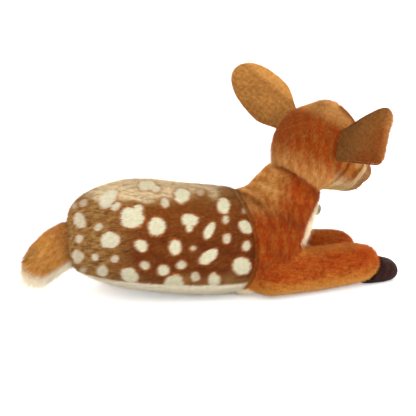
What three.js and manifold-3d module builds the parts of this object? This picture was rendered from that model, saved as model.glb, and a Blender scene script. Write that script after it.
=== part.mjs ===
// A stuffed plush fawn lying on its belly, 38 cm long, with its head turned to its left. Millimetres, +Z up.
// +X points from the tail to the chest and +Y to the fawn's left. The origin is the middle of the flat patch
// that the belly rests on. Each skin panel is a sewn shell, and the filling inside it is a solid of its own.
import * as THREE from "three";
import { mergeVertices } from "three/addons/utils/BufferGeometryUtils.js";
import Module from "manifold-3d";

const wasm = await Module();
wasm.setup();

// Driving sizes.
const bodyLength = 247; // from the rump to the front of the chest, before the ends are rounded off
const bodyWidth = 116;
const bodyHeight = 112;
const neckThickness = 64; // from nape to throat, just under the head
const headWidth = 87;
const headHeight = 92;
const muzzleReach = 99; // from the middle of the head to the front of the muzzle
const muzzleWidth = 43;
const earLength = 76;
const earWidth = 54;
const earLayer = 2.4; // thickness of each of an ear's two leaves
const earRollRadius = 3.2; // the rolled root that an ear hinges on
const earCup = 8; // how far the edges of an ear curl forwards at its widest place
const forelegLength = 117; // from the middle of the shoulder to the wrist
const forelegThickness = 47;
const foreHoofLength = 31; // past the wrist
const hindLegLength = 74;
const hindLegThickness = 37;
const hindHoofLength = 18;
const tailLength = 51;
const tailHeight = 45;
const tailWidth = 27;
const noseWidth = 17;
const noseHeight = 12;
const noseDepth = 7;
const eyeWidth = 13;
const eyeDome = 5.5; // how far an eye stands out
const eyePostRadius = 2;
const eyePostLength = 10;
const washerWidth = 16;
const washerThickness = 1.6;
const threadRadius = 0.7;
const tagWidth = 13; // a plain round tag on the bib
const tagThickness = 2;
const labelLength = 18; // the sewn-in care label, blank
const labelWidth = 18;
const labelThickness = 1.2;
const pouchLength = 96; // a bag of pellets low in the belly gives the toy its weight
const pouchWidth = 70;
const pouchHeight = 30;
const slitWidth = 12; // the slit in the filling that the pouch went in by
const archRadius = 98; // of the seam between the spotted coat and the shoulders
const fillHoleRadius = 19; // the hole in the head that it was stuffed through
const skinThickness = 3; // backing cloth and the dense foot of the pile
const seamGap = 0.4; // between two sewn edges, and between a leg and its hoof
const swingGap = 0.8; // round a limb that turns in its seat, where a many-sided root needs room
const seatGap = 0.35; // between a filling and the skin round it
const restDepth = 0.5; // how much of a rounded form is cut flat where it lies on the floor
const overrun = 20; // how far a cutting form runs past what it cuts

// How the fawn lies, and how far its limbs move from there, in degrees.
const headTurn = 37;
const headNod = 24;
const headTilt = 11.5;
const forelegRightTurn = 18;
const forelegLeftTurn = 6;
const hindLegLeftTurn = 38;
const hindLegRightTurn = 75;
const tailDroop = 33;
const bibTurn = 22;
const bibLean = 52.5;
const headSwing = 15; // either way
const tailSwing = 22; // either way
const legLift = 12; // up from the floor

const fur = {
  coat: 0x7a4520,
  rust: 0xa5521c,
  cream: 0xe9dfc6,
  tan: 0xc08a4c,
  muzzle: 0xcf9a5f,
  hoof: 0x2e1b15,
};
const filling = 0xf4f2ec;
const plastic = 0x120c08;

function deg(angle) {
  return THREE.MathUtils.degToRad(angle);
}

// A way out of the origin, from its turn about Z and its rise above level.
function pointing(turn, rise) {
  const level = Math.cos(deg(rise));
  return new THREE.Vector3(level * Math.cos(deg(turn)), level * Math.sin(deg(turn)), Math.sin(deg(rise)));
}

// Closed geometry to a solid, and back.
function toSolid(geometry) {
  const bare = geometry.clone();
  bare.deleteAttribute("normal");
  bare.deleteAttribute("uv");
  const merged = mergeVertices(bare, seamGap / 1000);
  return new wasm.Manifold(
    new wasm.Mesh({
      numProp: 3,
      vertProperties: merged.attributes.position.array,
      triVerts: new Uint32Array(merged.index.array),
    }),
  );
}

function toGeometry(solid) {
  const mesh = solid.getMesh();
  const geometry = new THREE.BufferGeometry();
  geometry.setAttribute("position", new THREE.BufferAttribute(mesh.vertProperties, mesh.numProp));
  geometry.setIndex(new THREE.BufferAttribute(mesh.triVerts, 1));
  geometry.computeVertexNormals();
  return geometry;
}

function moved(solid, matrix) {
  return toSolid(toGeometry(solid).applyMatrix4(matrix));
}

// A solid of a group, as seen from outside the group, and the other way round.
function outOf(group, solid) {
  group.updateMatrix();
  return moved(solid, group.matrix);
}

function into(group, solid) {
  group.updateMatrix();
  return moved(solid, group.matrix.clone().invert());
}

function box(x0, x1, y0, y1, z0, z1) {
  const geometry = new THREE.BoxGeometry(x1 - x0, y1 - y0, z1 - z0);
  geometry.translate((x0 + x1) / 2, (y0 + y1) / 2, (z0 + z1) / 2);
  return toSolid(geometry);
}

// A form turned about Z from a profile of radius and height.
function turned(points, segments = 14) {
  const geometry = new THREE.LatheGeometry(
    points.map(([radius, height]) => new THREE.Vector2(radius, height)),
    segments,
  );
  geometry.rotateX(Math.PI / 2);
  return geometry;
}

function ellipsoid(long, wide, tall, sides = 14, rings = 8) {
  const geometry = new THREE.SphereGeometry(1, sides, rings);
  geometry.rotateX(Math.PI / 2);
  geometry.scale(long / 2, wide / 2, tall / 2);
  return geometry;
}

function station(x, y, z, wide, tall, turn = 0, rise = 0) {
  return { middle: new THREE.Vector3(x, y, z), wide, tall, turn, rise };
}

// A stuffed form swept along stations. Each has its middle, half width, half height, turn and rise. What runs
// smoothly is the squares of the half sizes, so that an end of no size comes out round.
function stuffedForm(stations, inset, sides, rings) {
  const last = stations.length - 1;
  const middles = stations.map((s) => s.middle.clone());
  for (const [end, next] of [[0, 1], [last, last - 1]]) {
    middles[end].add(middles[next].clone().sub(middles[end]).setLength(inset));
  }
  const smooth = (list) => new THREE.CatmullRomCurve3(list, false, "catmullrom");
  const path = smooth(middles);
  const square = (half) => Math.max(half - inset, 0) ** 2;
  const girth = smooth(stations.map((s) => new THREE.Vector3(square(s.wide), square(s.tall), 0)));
  const facing = smooth(stations.map((s) => new THREE.Vector3(s.turn, s.rise, 0)));
  const points = [];
  for (let i = 0; i <= rings; i++) {
    const even = i / rings;
    const along = (even + (1 - Math.cos(Math.PI * even)) / 2) / 2; // closer at the round ends
    const middle = path.getPoint(along);
    if (i === 0 || i === rings) {
      points.push(middle);
      continue;
    }
    const size = girth.getPoint(along);
    const { x: turn, y: rise } = facing.getPoint(along);
    const side = pointing(turn + 90, 0);
    const up = pointing(turn, rise).cross(side);
    for (let k = 0; k < sides; k++) {
      const around = (2 * Math.PI * (k + 0.5)) / sides;
      points.push(
        middle
          .clone()
          .addScaledVector(side, Math.sqrt(Math.max(size.x, 0)) * Math.cos(around))
          .addScaledVector(up, Math.sqrt(Math.max(size.y, 0)) * Math.sin(around)),
      );
    }
  }
  const faces = [];
  const end = points.length - 1;
  const at = (ring, k) => 1 + (ring - 1) * sides + (k % sides);
  for (let k = 0; k < sides; k++) {
    faces.push(0, at(1, k + 1), at(1, k));
    faces.push(end, at(rings - 1, k), at(rings - 1, k + 1));
    for (let ring = 1; ring < rings - 1; ring++) {
      faces.push(at(ring, k), at(ring, k + 1), at(ring + 1, k + 1));
      faces.push(at(ring, k), at(ring + 1, k + 1), at(ring + 1, k));
    }
  }
  const geometry = new THREE.BufferGeometry().setFromPoints(points);
  geometry.setIndex(faces);
  return toSolid(geometry);
}

// The room that a form of a group takes up while it swings about one of the group's own axes.
function roomOf(group, solid, axis, swings) {
  return swings
    .map((swing) => outOf(group, moved(solid, new THREE.Matrix4().makeRotationAxis(axis, deg(swing)))))
    .reduce((all, next) => all.add(next));
}

// How far the last skin of a solid is from a point inside it.
function surfaceFrom(solid, from, way, reach) {
  const mesh = new THREE.Mesh(toGeometry(solid), new THREE.MeshBasicMaterial({ side: THREE.DoubleSide }));
  const hits = new THREE.Raycaster(from, way.clone().normalize(), 0, reach).intersectObject(mesh);
  return hits[hits.length - 1].distance;
}

// A group that sits on a solid's surface, with its local +Z pointing out.
function groupOn(solid, from, way, reach) {
  const out = way.clone().normalize();
  const group = new THREE.Group();
  group.position.copy(from).addScaledVector(out, surfaceFrom(solid, from, out, reach));
  group.quaternion.setFromUnitVectors(new THREE.Vector3(0, 0, 1), out);
  return group;
}

function named(name, shape, colour, roughness = 0.95) {
  const geometry = shape.isBufferGeometry ? shape : toGeometry(shape);
  const mesh = new THREE.Mesh(
    geometry,
    new THREE.MeshStandardMaterial({ color: colour, roughness, metalness: 0 }),
  );
  mesh.name = name;
  return mesh;
}

// The torso bends to its left towards the chest. Shares of the length, of the half width to the left, of the
// height, of half the width and of half the height, and the turn in degrees.
const rumpShare = 0.615; // of the length lies behind the origin
const torsoShares = [
  [0, 0, 0.55, 0, 0, 0],
  [0.036, 0, 0.566, 0.53, 0.585, 0],
  [0.11, 0, 0.578, 0.765, 0.79, 0],
  [0.226, 0, 0.575, 0.92, 0.965, 0],
  [0.348, 0, 0.553, 0.985, 1.02, 0],
  [0.47, 0, 0.514, 1, 1.01, 0],
  [0.591, 0, 0.487, 0.985, 0.998, 1],
  [0.713, 0.05, 0.474, 0.95, 0.978, 6],
  [0.812, 0.155, 0.446, 0.9, 0.915, 17],
  [0.893, 0.29, 0.442, 0.78, 0.83, 25],
  [0.953, 0.41, 0.445, 0.5, 0.57, 29],
  [0.975, 0.46, 0.45, 0, 0, 30],
];
const torsoStations = torsoShares.map(([along, aside, lift, wide, tall, turn]) =>
  station(
    (along - rumpShare) * bodyLength,
    (aside * bodyWidth) / 2,
    lift * bodyHeight,
    (wide * bodyWidth) / 2,
    (tall * bodyHeight) / 2,
    turn,
  ),
);

// The neck leans out of the shoulders. Shares of the body's length, half width and height, then of half the
// thickness of the neck, and the turn and rise in degrees.
const neckShares = [
  [0.12, 0.12, 0.3, 0, 0, 22, 50],
  [0.18, 0.2, 0.42, 1.25, 1.2, 22, 52],
  [0.222, 0.27, 0.55, 1.38, 1.5, 22, 55],
  [0.274, 0.36, 0.72, 1.2, 1.34, 22, 57],
  [0.338, 0.48, 0.93, 1.03, 1.08, 21, 58],
  [0.392, 0.57, 1.08, 0.92, 0.95, 21, 58],
  [0.416, 0.62, 1.17, 0, 0, 21, 58],
];
const neckStations = neckShares.map(([along, aside, lift, wide, tall, turn, rise]) =>
  station(
    along * bodyLength,
    (aside * bodyWidth) / 2,
    lift * bodyHeight,
    (wide * neckThickness) / 2,
    (tall * neckThickness) / 2,
    turn,
    rise,
  ),
);

// The outsides are finer than the surfaces that nobody sees.
function torsoForm(inset) {
  const [sides, rings] = inset > 0 ? [12, 11] : [20, 15];
  const [neckSides, neckRings] = inset > 0 ? [10, 6] : [14, 8];
  return stuffedForm(torsoStations, inset, sides, rings).add(
    stuffedForm(neckStations, inset, neckSides, neckRings),
  );
}

// Legs, in their own groups: +X runs out along the leg from the middle of its ball-shaped root. Past the ball
// each is a turned form. Shares of the length and of half the thickness.
const legShares = [
  [0.18, 0.975],
  [0.4, 1],
  [0.64, 0.98],
  [0.84, 0.935],
  [0.955, 0.82],
  [1.02, 0.62],
  [1.055, 0.34],
];
const legEndShare = 1.07;
const rootShare = 0.965; // radius of the ball, of half the thickness

function legForm(length, thickness, inset, coarse = inset > 0) {
  const half = thickness / 2;
  const ball = half * rootShare - inset;
  const profile = [[0, -ball]];
  for (const angle of coarse ? [50, 15] : [66, 40, 14]) {
    profile.push([ball * Math.cos(deg(angle)), -ball * Math.sin(deg(angle))]);
  }
  for (const [along, wide] of coarse ? legShares.filter((_, i) => i % 2 === 0) : legShares) {
    profile.push([Math.max(wide * half - inset, half / 10), along * length - inset]);
  }
  profile.push([0, legEndShare * length - inset]);
  const geometry = turned(profile, coarse ? 10 : 14);
  geometry.rotateY(Math.PI / 2);
  return toSolid(geometry);
}

// A hoof is a blunt cap on the end of the leg. Shares of the hoof's length, and of half the leg's thickness
// for the sag, the half width and the half height.
const hoofShares = [
  [-0.95, -0.26, 0, 0],
  [-0.6, -0.33, 0.56, 0.56],
  [0.05, -0.43, 0.66, 0.64],
  [0.6, -0.5, 0.58, 0.55],
  [0.87, -0.55, 0.42, 0.38],
  [1, -0.58, 0, 0],
];

function hoofForm(legLength, thickness, length) {
  const half = thickness / 2;
  return stuffedForm(
    hoofShares.map(([along, sag, wide, tall]) =>
      station(legLength + along * length, 0, sag * half, wide * half, tall * half),
    ),
    0,
    12,
    8,
  );
}

function limb(along, aside, height, turn) {
  const group = new THREE.Group();
  group.position.set(along * bodyLength, (aside * bodyWidth) / 2, height);
  group.rotation.z = deg(turn);
  return group;
}

// Where the limbs are sewn on: shares of the body's length and half width.
const forelegRightSeatShare = [0.217, -0.4];
const forelegLeftSeatShare = [0.146, 0.9];
const hindLegLeftSeatShare = [-0.21, 0.84];
const hindLegRightSeatShare = [-0.405, 0.66];
const foreHeight = forelegThickness / 2 - restDepth;
const hindHeight = hindLegThickness / 2 - restDepth;
const forelegs = {
  right: limb(...forelegRightSeatShare, foreHeight, forelegRightTurn),
  left: limb(...forelegLeftSeatShare, foreHeight, forelegLeftTurn),
};
const hindLegs = {
  right: limb(...hindLegRightSeatShare, hindHeight, hindLegRightTurn),
  left: limb(...hindLegLeftSeatShare, hindHeight, hindLegLeftTurn),
};

function legRoom(group, length, thickness, coarse) {
  const gap = coarse ? 3 * swingGap : swingGap; // a form with few sides needs more room
  const swollen = legForm(length + gap, thickness + 2 * gap, 0, coarse);
  const swings = coarse ? [0, -legLift] : [0, -legLift / 2, -legLift];
  return roomOf(group, swollen, new THREE.Vector3(0, 1, 0), swings);
}

// The tail's group: local +X runs out along the tail and local +Z is its underside. It swings about local Y.
const tailSeatShare = [-0.594, 0.53]; // of the body's length and height
const tail = new THREE.Group();
tail.position.set(tailSeatShare[0] * bodyLength, 0, tailSeatShare[1] * bodyHeight);
tail.rotation.set(0, deg(180 - tailDroop), 0);
// Shares of the length, of half the height for the sag, and of half the width and half the height.
const tailShares = [
  [-0.2, 0, 0, 0],
  [0, 0, 1, 1],
  [0.3, 0, 1.04, 1.02],
  [0.62, 0.06, 0.98, 0.93],
  [0.87, 0.12, 0.76, 0.72],
  [1, 0.16, 0, 0],
];

function tailForm(inset) {
  const half = tailHeight / 2;
  const [sides, rings] = inset > 0 ? [10, 7] : [14, 9];
  const swept = stuffedForm(
    tailShares.map(([along, sag, wide, tall]) =>
      station(along * tailLength, 0, sag * half, (wide * tailWidth) / 2, tall * half),
    ),
    inset,
    sides,
    rings,
  );
  const across = tailHeight - 2 * inset;
  const root = ellipsoid(across, across, tailWidth - 2 * inset, sides, rings - 1);
  root.rotateX(Math.PI / 2);
  return swept.add(toSolid(root));
}

// The head's group: its origin is the middle of the round head, local +X is the way the face looks and local
// +Z is up out of the crown. The head turns on the neck about local Z.
const headSeatShare = [0.434, 0.655, 1.242]; // of the body's length, half width and height
const head = new THREE.Group();
head.position.set(
  headSeatShare[0] * bodyLength,
  (headSeatShare[1] * bodyWidth) / 2,
  headSeatShare[2] * bodyHeight,
);
head.rotation.set(deg(headTilt), deg(headNod), deg(headTurn), "ZXY");

function cranium(inset) {
  const profile = [];
  const steps = inset > 0 ? 8 : 11;
  for (let i = 0; i <= steps; i++) {
    const angle = Math.PI * (i / steps - 1 / 2);
    const across = i === 0 || i === steps ? 0 : (headWidth / 2 - inset) * Math.cos(angle);
    profile.push([across, (headHeight / 2 - inset) * Math.sin(angle)]);
  }
  return toSolid(turned(profile, inset > 0 ? 14 : 22));
}

// The face and muzzle. Shares of the reach, of the head's height, and of half the muzzle's width.
const muzzleShares = [
  [0.05, -0.02, 0, 0],
  [0.16, -0.03, 1.6, 1.58],
  [0.38, -0.045, 1.58, 1.56],
  [0.58, -0.08, 1.26, 1.24],
  [0.78, -0.11, 1.02, 1],
  [0.93, -0.11, 0.78, 0.76],
  [1, -0.11, 0, 0],
];

function muzzle(inset) {
  const [sides, rings] = inset > 0 ? [10, 8] : [16, 11];
  return stuffedForm(
    muzzleShares.map(([along, lift, wide, tall]) =>
      station(along * muzzleReach, 0, lift * headHeight, (wide * muzzleWidth) / 2, (tall * muzzleWidth) / 2),
    ),
    inset,
    sides,
    rings,
  );
}

function headForm(inset) {
  return cranium(inset).add(muzzle(inset));
}

// What is cut out of the torso for the head, the legs and the tail.
const tailRoom = roomOf(tail, tailForm(-swingGap), new THREE.Vector3(0, 1, 0), [-tailSwing, 0, tailSwing]);
const headRoom = outOf(head, cranium(-swingGap)).add(
  roomOf(head, muzzle(-seamGap), new THREE.Vector3(0, 0, 1), [-headSwing, headSwing]),
);
function legRooms(coarse) {
  return [
    ...Object.values(forelegs).map((group) => legRoom(group, forelegLength, forelegThickness, coarse)),
    ...Object.values(hindLegs).map((group) => legRoom(group, hindLegLength, hindLegThickness, coarse)),
  ];
}
const floor = box(-bodyLength * 2, bodyLength * 2, -bodyLength * 2, bodyLength * 2, -bodyHeight, 0);

function seated(solid, coarse) {
  const rooms = [headRoom, tailRoom, ...legRooms(coarse)];
  return rooms.reduce((cut, room) => cut.subtract(room), solid).subtract(floor);
}

// The seam between the spotted coat and the shoulders: an arch that bulges forwards at half height.
const coatSeamShare = 0.142; // of the body's length, where the arch reaches furthest
function coatCutter(growth) {
  const middle = coatSeamShare * bodyLength + growth - archRadius;
  const shape = new THREE.Shape();
  shape.moveTo(-bodyLength, -archRadius);
  shape.lineTo(middle, -archRadius);
  shape.absarc(middle, 0, archRadius, -Math.PI / 2, Math.PI / 2, false);
  shape.lineTo(-bodyLength, archRadius);
  return sideways(shape, bodyHeight / 2);
}

// A shape drawn in X and Z, run through the whole width of the body.
function sideways(shape, lift) {
  const geometry = new THREE.ExtrudeGeometry(shape, {
    depth: 2 * bodyWidth,
    bevelEnabled: false,
    curveSegments: 16,
  });
  geometry.rotateX(Math.PI / 2);
  geometry.translate(0, bodyWidth, lift);
  return toSolid(geometry);
}

// The belly panel's edge, low along each flank. Shares of the body's length and height.
const bellyEdgeShares = [
  [0.2, 0.2],
  [0, 0.2],
  [-0.22, 0.215],
  [-0.42, 0.25],
  [-0.56, 0.29],
  [-0.7, 0.35],
];
function bellyCutter(growth) {
  const edge = bellyEdgeShares.map(
    ([along, lift]) => new THREE.Vector2(along * bodyLength, lift * bodyHeight + growth),
  );
  const shape = new THREE.Shape();
  shape.moveTo(edge[edge.length - 1].x, -overrun);
  shape.lineTo(edge[0].x, -overrun);
  edge.forEach((point) => shape.lineTo(point.x, point.y));
  return sideways(shape, 0);
}

// The bib: a panel down the throat and the chest, in front of a plane that leans back further than the neck
// does. So its side seams run down and back, and it widens towards the belly.
const bibSeatShare = [0.314, 0.2, 0.63]; // of the body's length, half width and height
const bibWidthShare = 0.8; // of the body's width
const bib = new THREE.Group();
bib.position.set(
  bibSeatShare[0] * bodyLength,
  (bibSeatShare[1] * bodyWidth) / 2,
  bibSeatShare[2] * bodyHeight,
);
bib.rotation.set(0, deg(bibLean), deg(bibTurn), "ZYX");
function bibCutter(growth) {
  const half = (bibWidthShare * bodyWidth) / 2 + growth;
  return outOf(bib, box(-growth, bodyLength, -half, half, -2 * bodyHeight, 2 * bodyHeight));
}

const torsoOuter = torsoForm(0);
const torsoSkin = seated(torsoOuter.subtract(torsoForm(skinThickness)), false);
const rearSkin = torsoSkin.intersect(coatCutter(0));
const foreSkin = torsoSkin.subtract(coatCutter(seamGap));

// The pellet pouch, and the room for it in the filling.
const pouchSeatShare = [-0.06, 0.24]; // of the body's length and height
function pouch(growth) {
  const geometry = ellipsoid(pouchLength + 2 * growth, pouchWidth + 2 * growth, pouchHeight + 2 * growth);
  geometry.translate(pouchSeatShare[0] * bodyLength, 0, pouchSeatShare[1] * bodyHeight);
  return toSolid(geometry);
}
const slitMiddle = pouchSeatShare[0] * bodyLength;
const slit = box(
  slitMiddle - slitWidth / 2,
  slitMiddle + slitWidth / 2,
  -slitWidth / 2,
  slitWidth / 2,
  -overrun,
  pouchSeatShare[1] * bodyHeight,
);
const bodyFilling = seated(torsoForm(skinThickness + seatGap), true)
  .subtract(pouch(seatGap))
  .subtract(slit);

function torsoPieces() {
  return [
    named("coat_skin", rearSkin.subtract(bellyCutter(seamGap)), fur.coat),
    named("belly_panel", rearSkin.intersect(bellyCutter(0)), fur.cream),
    named("shoulder_skin", foreSkin.subtract(bibCutter(seamGap)), fur.rust),
    named("chest_bib", foreSkin.intersect(bibCutter(0)), fur.cream),
    named("body_filling", bodyFilling, filling),
    named("pellet_pouch", pouch(0), fur.cream, 0.9),
    named("chest_tag", chestTag(), 0x8d8a6c, 0.6),
    named("care_label", careLabel(), filling, 0.7),
  ];
}

// The round tag is sewn flat on the bib. Its profile: shares of the radius and of the thickness.
const tagLiftShare = 0.79; // of the body's height
const tagDrop = 19; // how far below level the line that it lies on points, in degrees
const tagProfileShares = [
  [0, 0],
  [0.92, 0],
  [1, 0.4],
  [0.8, 0.8],
  [0, 1],
];
function chestTag() {
  const from = new THREE.Vector3(bib.position.x, bib.position.y, tagLiftShare * bodyHeight);
  const group = groupOn(torsoOuter, from, pointing(bibTurn, -tagDrop), bodyWidth);
  const disc = turned(tagProfileShares.map(([out, up]) => [(out * tagWidth) / 2, up * tagThickness]));
  disc.translate(0, 0, seatGap);
  return outOf(group, toSolid(disc)).subtract(torsoForm(-seatGap));
}

// The label hangs from the belly seam on the far side, behind the hind leg.
const labelSeatShare = [-0.48, 0.3]; // of the body's length and height
const labelWayShare = [-0.55, 1.5, -0.2]; // which way it points out of the seam
function careLabel() {
  const from = new THREE.Vector3(labelSeatShare[0] * bodyLength, 0, labelSeatShare[1] * bodyHeight);
  const group = groupOn(torsoOuter, from, new THREE.Vector3(...labelWayShare), bodyWidth * 2);
  const strip = box(
    -labelWidth / 2,
    labelWidth / 2,
    -labelThickness / 2,
    labelThickness / 2,
    -overrun / 2,
    labelLength,
  );
  return outOf(group, strip).subtract(torsoForm(-seatGap));
}

// A leg's three pieces: its skin, open at the shoulder, its filling and its hoof.
function addLeg(group, kind, side, length, thickness, hoofLength) {
  const ground = into(group, floor);
  const root = (thickness * rootShare) / 2;
  const open = box(-2 * root, -root / 3, -root / 2, root / 2, -root / 2, root / 2);
  const skin = legForm(length, thickness, 0).subtract(legForm(length, thickness, skinThickness));
  const inside = legForm(length, thickness, skinThickness + seatGap);
  const hoof = hoofForm(length, thickness, hoofLength).subtract(
    legForm(length + seamGap, thickness + 2 * seamGap, 0),
  );
  group.add(
    named(`${kind}_skin_${side}`, skin.subtract(open).subtract(ground), fur.rust),
    named(`${kind}_filling_${side}`, inside.subtract(ground), filling),
    named(`${kind}_hoof_${side}`, hoof.subtract(ground), fur.hoof, 0.85),
  );
}

// The tail: a brown upper panel and a pale underside round a small filling.
const tailSeamShare = 0.26; // of half the height, how far below the middle the two panels meet
function addTail() {
  const seam = (tailSeamShare * tailHeight) / 2;
  const half = tailWidth / 4;
  const open = box(-tailHeight, -tailHeight / 6, -half, half, -half, half);
  const skin = tailForm(0).subtract(tailForm(skinThickness)).subtract(open);
  const layer = (low, high) => box(-tailHeight, 2 * tailLength, -tailWidth, tailWidth, low, high);
  tail.add(
    named("tail_upper_skin", skin.intersect(layer(-tailHeight, seam - seamGap)), fur.tan),
    named("tail_under_skin", skin.intersect(layer(seam, tailHeight)), fur.cream),
    named("tail_filling", tailForm(skinThickness + seatGap), filling),
  );
}

// A safety eye: a dome that sits on the cloth, on a post that goes through it. Shares of the dome's radius
// and of its height.
const domeShares = [
  [0.9, 0],
  [1, 0.2],
  [0.88, 0.55],
  [0.6, 0.85],
  [0.28, 0.98],
  [0, 1],
];
function eyeGeometry() {
  return turned([
    [0, -eyePostLength],
    [eyePostRadius, -eyePostLength],
    [eyePostRadius, seatGap],
    ...domeShares.map(([out, up]) => [(out * eyeWidth) / 2, seatGap + up * eyeDome]),
  ]);
}

// The lock washer is pushed up the post to the inside of the cloth.
const washerTop = -skinThickness - seatGap;
function washerGeometry() {
  const bore = eyePostRadius + seatGap;
  const foot = washerTop - washerThickness;
  return turned([
    [bore, foot],
    [washerWidth / 2, foot],
    [washerWidth / 2, washerTop],
    [bore, washerTop],
    [bore, foot],
  ]);
}

// A round hole along a group's local Z, from one height to another.
function drilled(solid, group, radius, low, high) {
  const geometry = new THREE.CylinderGeometry(radius, radius, high - low, 14);
  geometry.rotateX(Math.PI / 2);
  geometry.translate(0, 0, (low + high) / 2);
  return solid.subtract(outOf(group, toSolid(geometry)));
}

// The nose: a rounded triangular pad on the muzzle's front.
const noseLiftShare = -0.05; // of the head's height
const noseTaperShare = 0.45; // of the width, lost towards the bottom
const noseSinkShare = 0.35; // of the depth, behind the front of the muzzle
function nosePad() {
  const geometry = ellipsoid(noseDepth * 2, noseWidth, noseHeight, 12, 8);
  const places = geometry.attributes.position;
  for (let i = 0; i < places.count; i++) {
    const low = Math.max(0, -places.getZ(i) / (noseHeight / 2));
    places.setY(i, places.getY(i) * (1 - noseTaperShare * low));
  }
  geometry.translate(muzzleReach - noseDepth * noseSinkShare, 0, noseLiftShare * headHeight);
  return toSolid(geometry).subtract(muzzle(-seatGap));
}

// The mouth: a short curve of thread laid on the muzzle below the nose, with its angles in degrees.
const mouthSeatShare = [0.8, -0.11]; // where its angles start: of the reach and the head's height
const mouthTurns = [-34, -17, 0, 17, 34];
const mouthDrop = 33; // below level
const mouthSag = 8; // its middle hangs this much lower
const mouthWaves = 2.6;
function mouthThread(headWhole) {
  const from = new THREE.Vector3(mouthSeatShare[0] * muzzleReach, 0, mouthSeatShare[1] * headHeight);
  const spots = mouthTurns.map((turn) => {
    const way = pointing(turn, -mouthDrop - mouthSag * Math.cos(deg(turn * mouthWaves)));
    const reach = surfaceFrom(headWhole, from, way, muzzleReach) + threadRadius + seatGap;
    return from.clone().addScaledVector(way, reach);
  });
  const section = new THREE.Shape();
  section.absarc(0, 0, threadRadius, 0, Math.PI * 2, false);
  return new THREE.ExtrudeGeometry(section, {
    steps: 10,
    curveSegments: 5,
    bevelEnabled: false,
    extrudePath: new THREE.CatmullRomCurve3(spots),
  });
}

// The ears: an outer leaf and a lining leaf, cupped forwards, sewn along a rolled root.
const earSeatShare = [-0.157, 0.9, 0.2]; // of the muzzle's reach, half the head's width and the head's height
const earWayShare = [-0.4, 0.85, 0.33]; // which way the right half of the pair leans, mirrored for the other
const leafShares = [0.6, 0.81, 0.93, 0.99, 1, 0.96, 0.85, 0.66, 0.3]; // of half the width, from root to tip

function earLeaf(near, far) {
  const across = 6;
  const stations = leafShares.length - 1;
  const points = [];
  for (const lift of [near, far]) {
    for (let i = 0; i <= stations; i++) {
      for (let k = 0; k <= across; k++) {
        const out = (2 * k) / across - 1;
        points.push(
          new THREE.Vector3(
            (i / stations) * earLength,
            (leafShares[i] * earWidth * out) / 2,
            lift - earCup * leafShares[i] * out * out,
          ),
        );
      }
    }
  }
  const width = across + 1;
  const sheet = points.length / 2;
  const faces = [];
  const quad = (a, b, c, d) => faces.push(a, b, c, a, c, d);
  for (let i = 0; i < stations; i++) {
    const left = i * width;
    const right = left + across;
    for (let a = left; a < right; a++) {
      quad(a, a + 1, a + width + 1, a + width);
      quad(sheet + a, sheet + a + width, sheet + a + width + 1, sheet + a + 1);
    }
    quad(left, left + width, sheet + left + width, sheet + left);
    quad(right, sheet + right, sheet + right + width, right + width);
  }
  for (let k = 0; k < across; k++) {
    const tip = stations * width + k;
    quad(k, sheet + k, sheet + k + 1, k + 1);
    quad(tip, tip + 1, sheet + tip + 1, sheet + tip);
  }
  const geometry = new THREE.BufferGeometry().setFromPoints(points);
  geometry.setIndex(faces);
  return toSolid(geometry);
}

function addEar(name, side, headWhole) {
  const way = new THREE.Vector3(...earWayShare).multiply(new THREE.Vector3(1, side, 1)).normalize();
  const backward = new THREE.Vector3(-1, 0, 0).projectOnPlane(way).normalize();
  const out = new THREE.Vector3(
    earSeatShare[0] * muzzleReach,
    (side * earSeatShare[1] * headWidth) / 2,
    earSeatShare[2] * headHeight,
  ).normalize();
  const reach = surfaceFrom(headWhole, new THREE.Vector3(), out, 2 * headWidth);
  const group = new THREE.Group();
  group.position.copy(out).multiplyScalar(reach + earRollRadius + seamGap);
  group.setRotationFromMatrix(new THREE.Matrix4().makeBasis(way, backward.clone().cross(way), backward));
  group.name = `ear_${name}`;
  const lining = earLeaf(-seatGap / 2 - earLayer, -seatGap / 2);
  const linerRoom = earLeaf(-seatGap - earLayer, seatGap / 2);
  const roll = new THREE.CylinderGeometry(earRollRadius, earRollRadius, earWidth * leafShares[0], 12);
  const back = toSolid(roll).subtract(linerRoom).add(earLeaf(seatGap / 2, seatGap / 2 + earLayer));
  group.add(named(`ear_back_${name}`, back, fur.tan), named(`ear_lining_${name}`, lining, fur.cream));
  head.add(group);
}

// The head's skin is three panels: the back of the head, the face and the muzzle.
const faceSeamShare = 0.02; // of the muzzle's reach
const muzzleSeamShare = 0.66;
const eyeSeatShare = [0.24, 0.02]; // where the line through an eye starts: of the reach and the head's height
const eyeTurn = 60; // degrees from straight ahead
const eyeRise = 11;
const fillHoleDropShare = 0.75; // of the head's height, down to the middle of the cut that makes the hole

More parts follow.
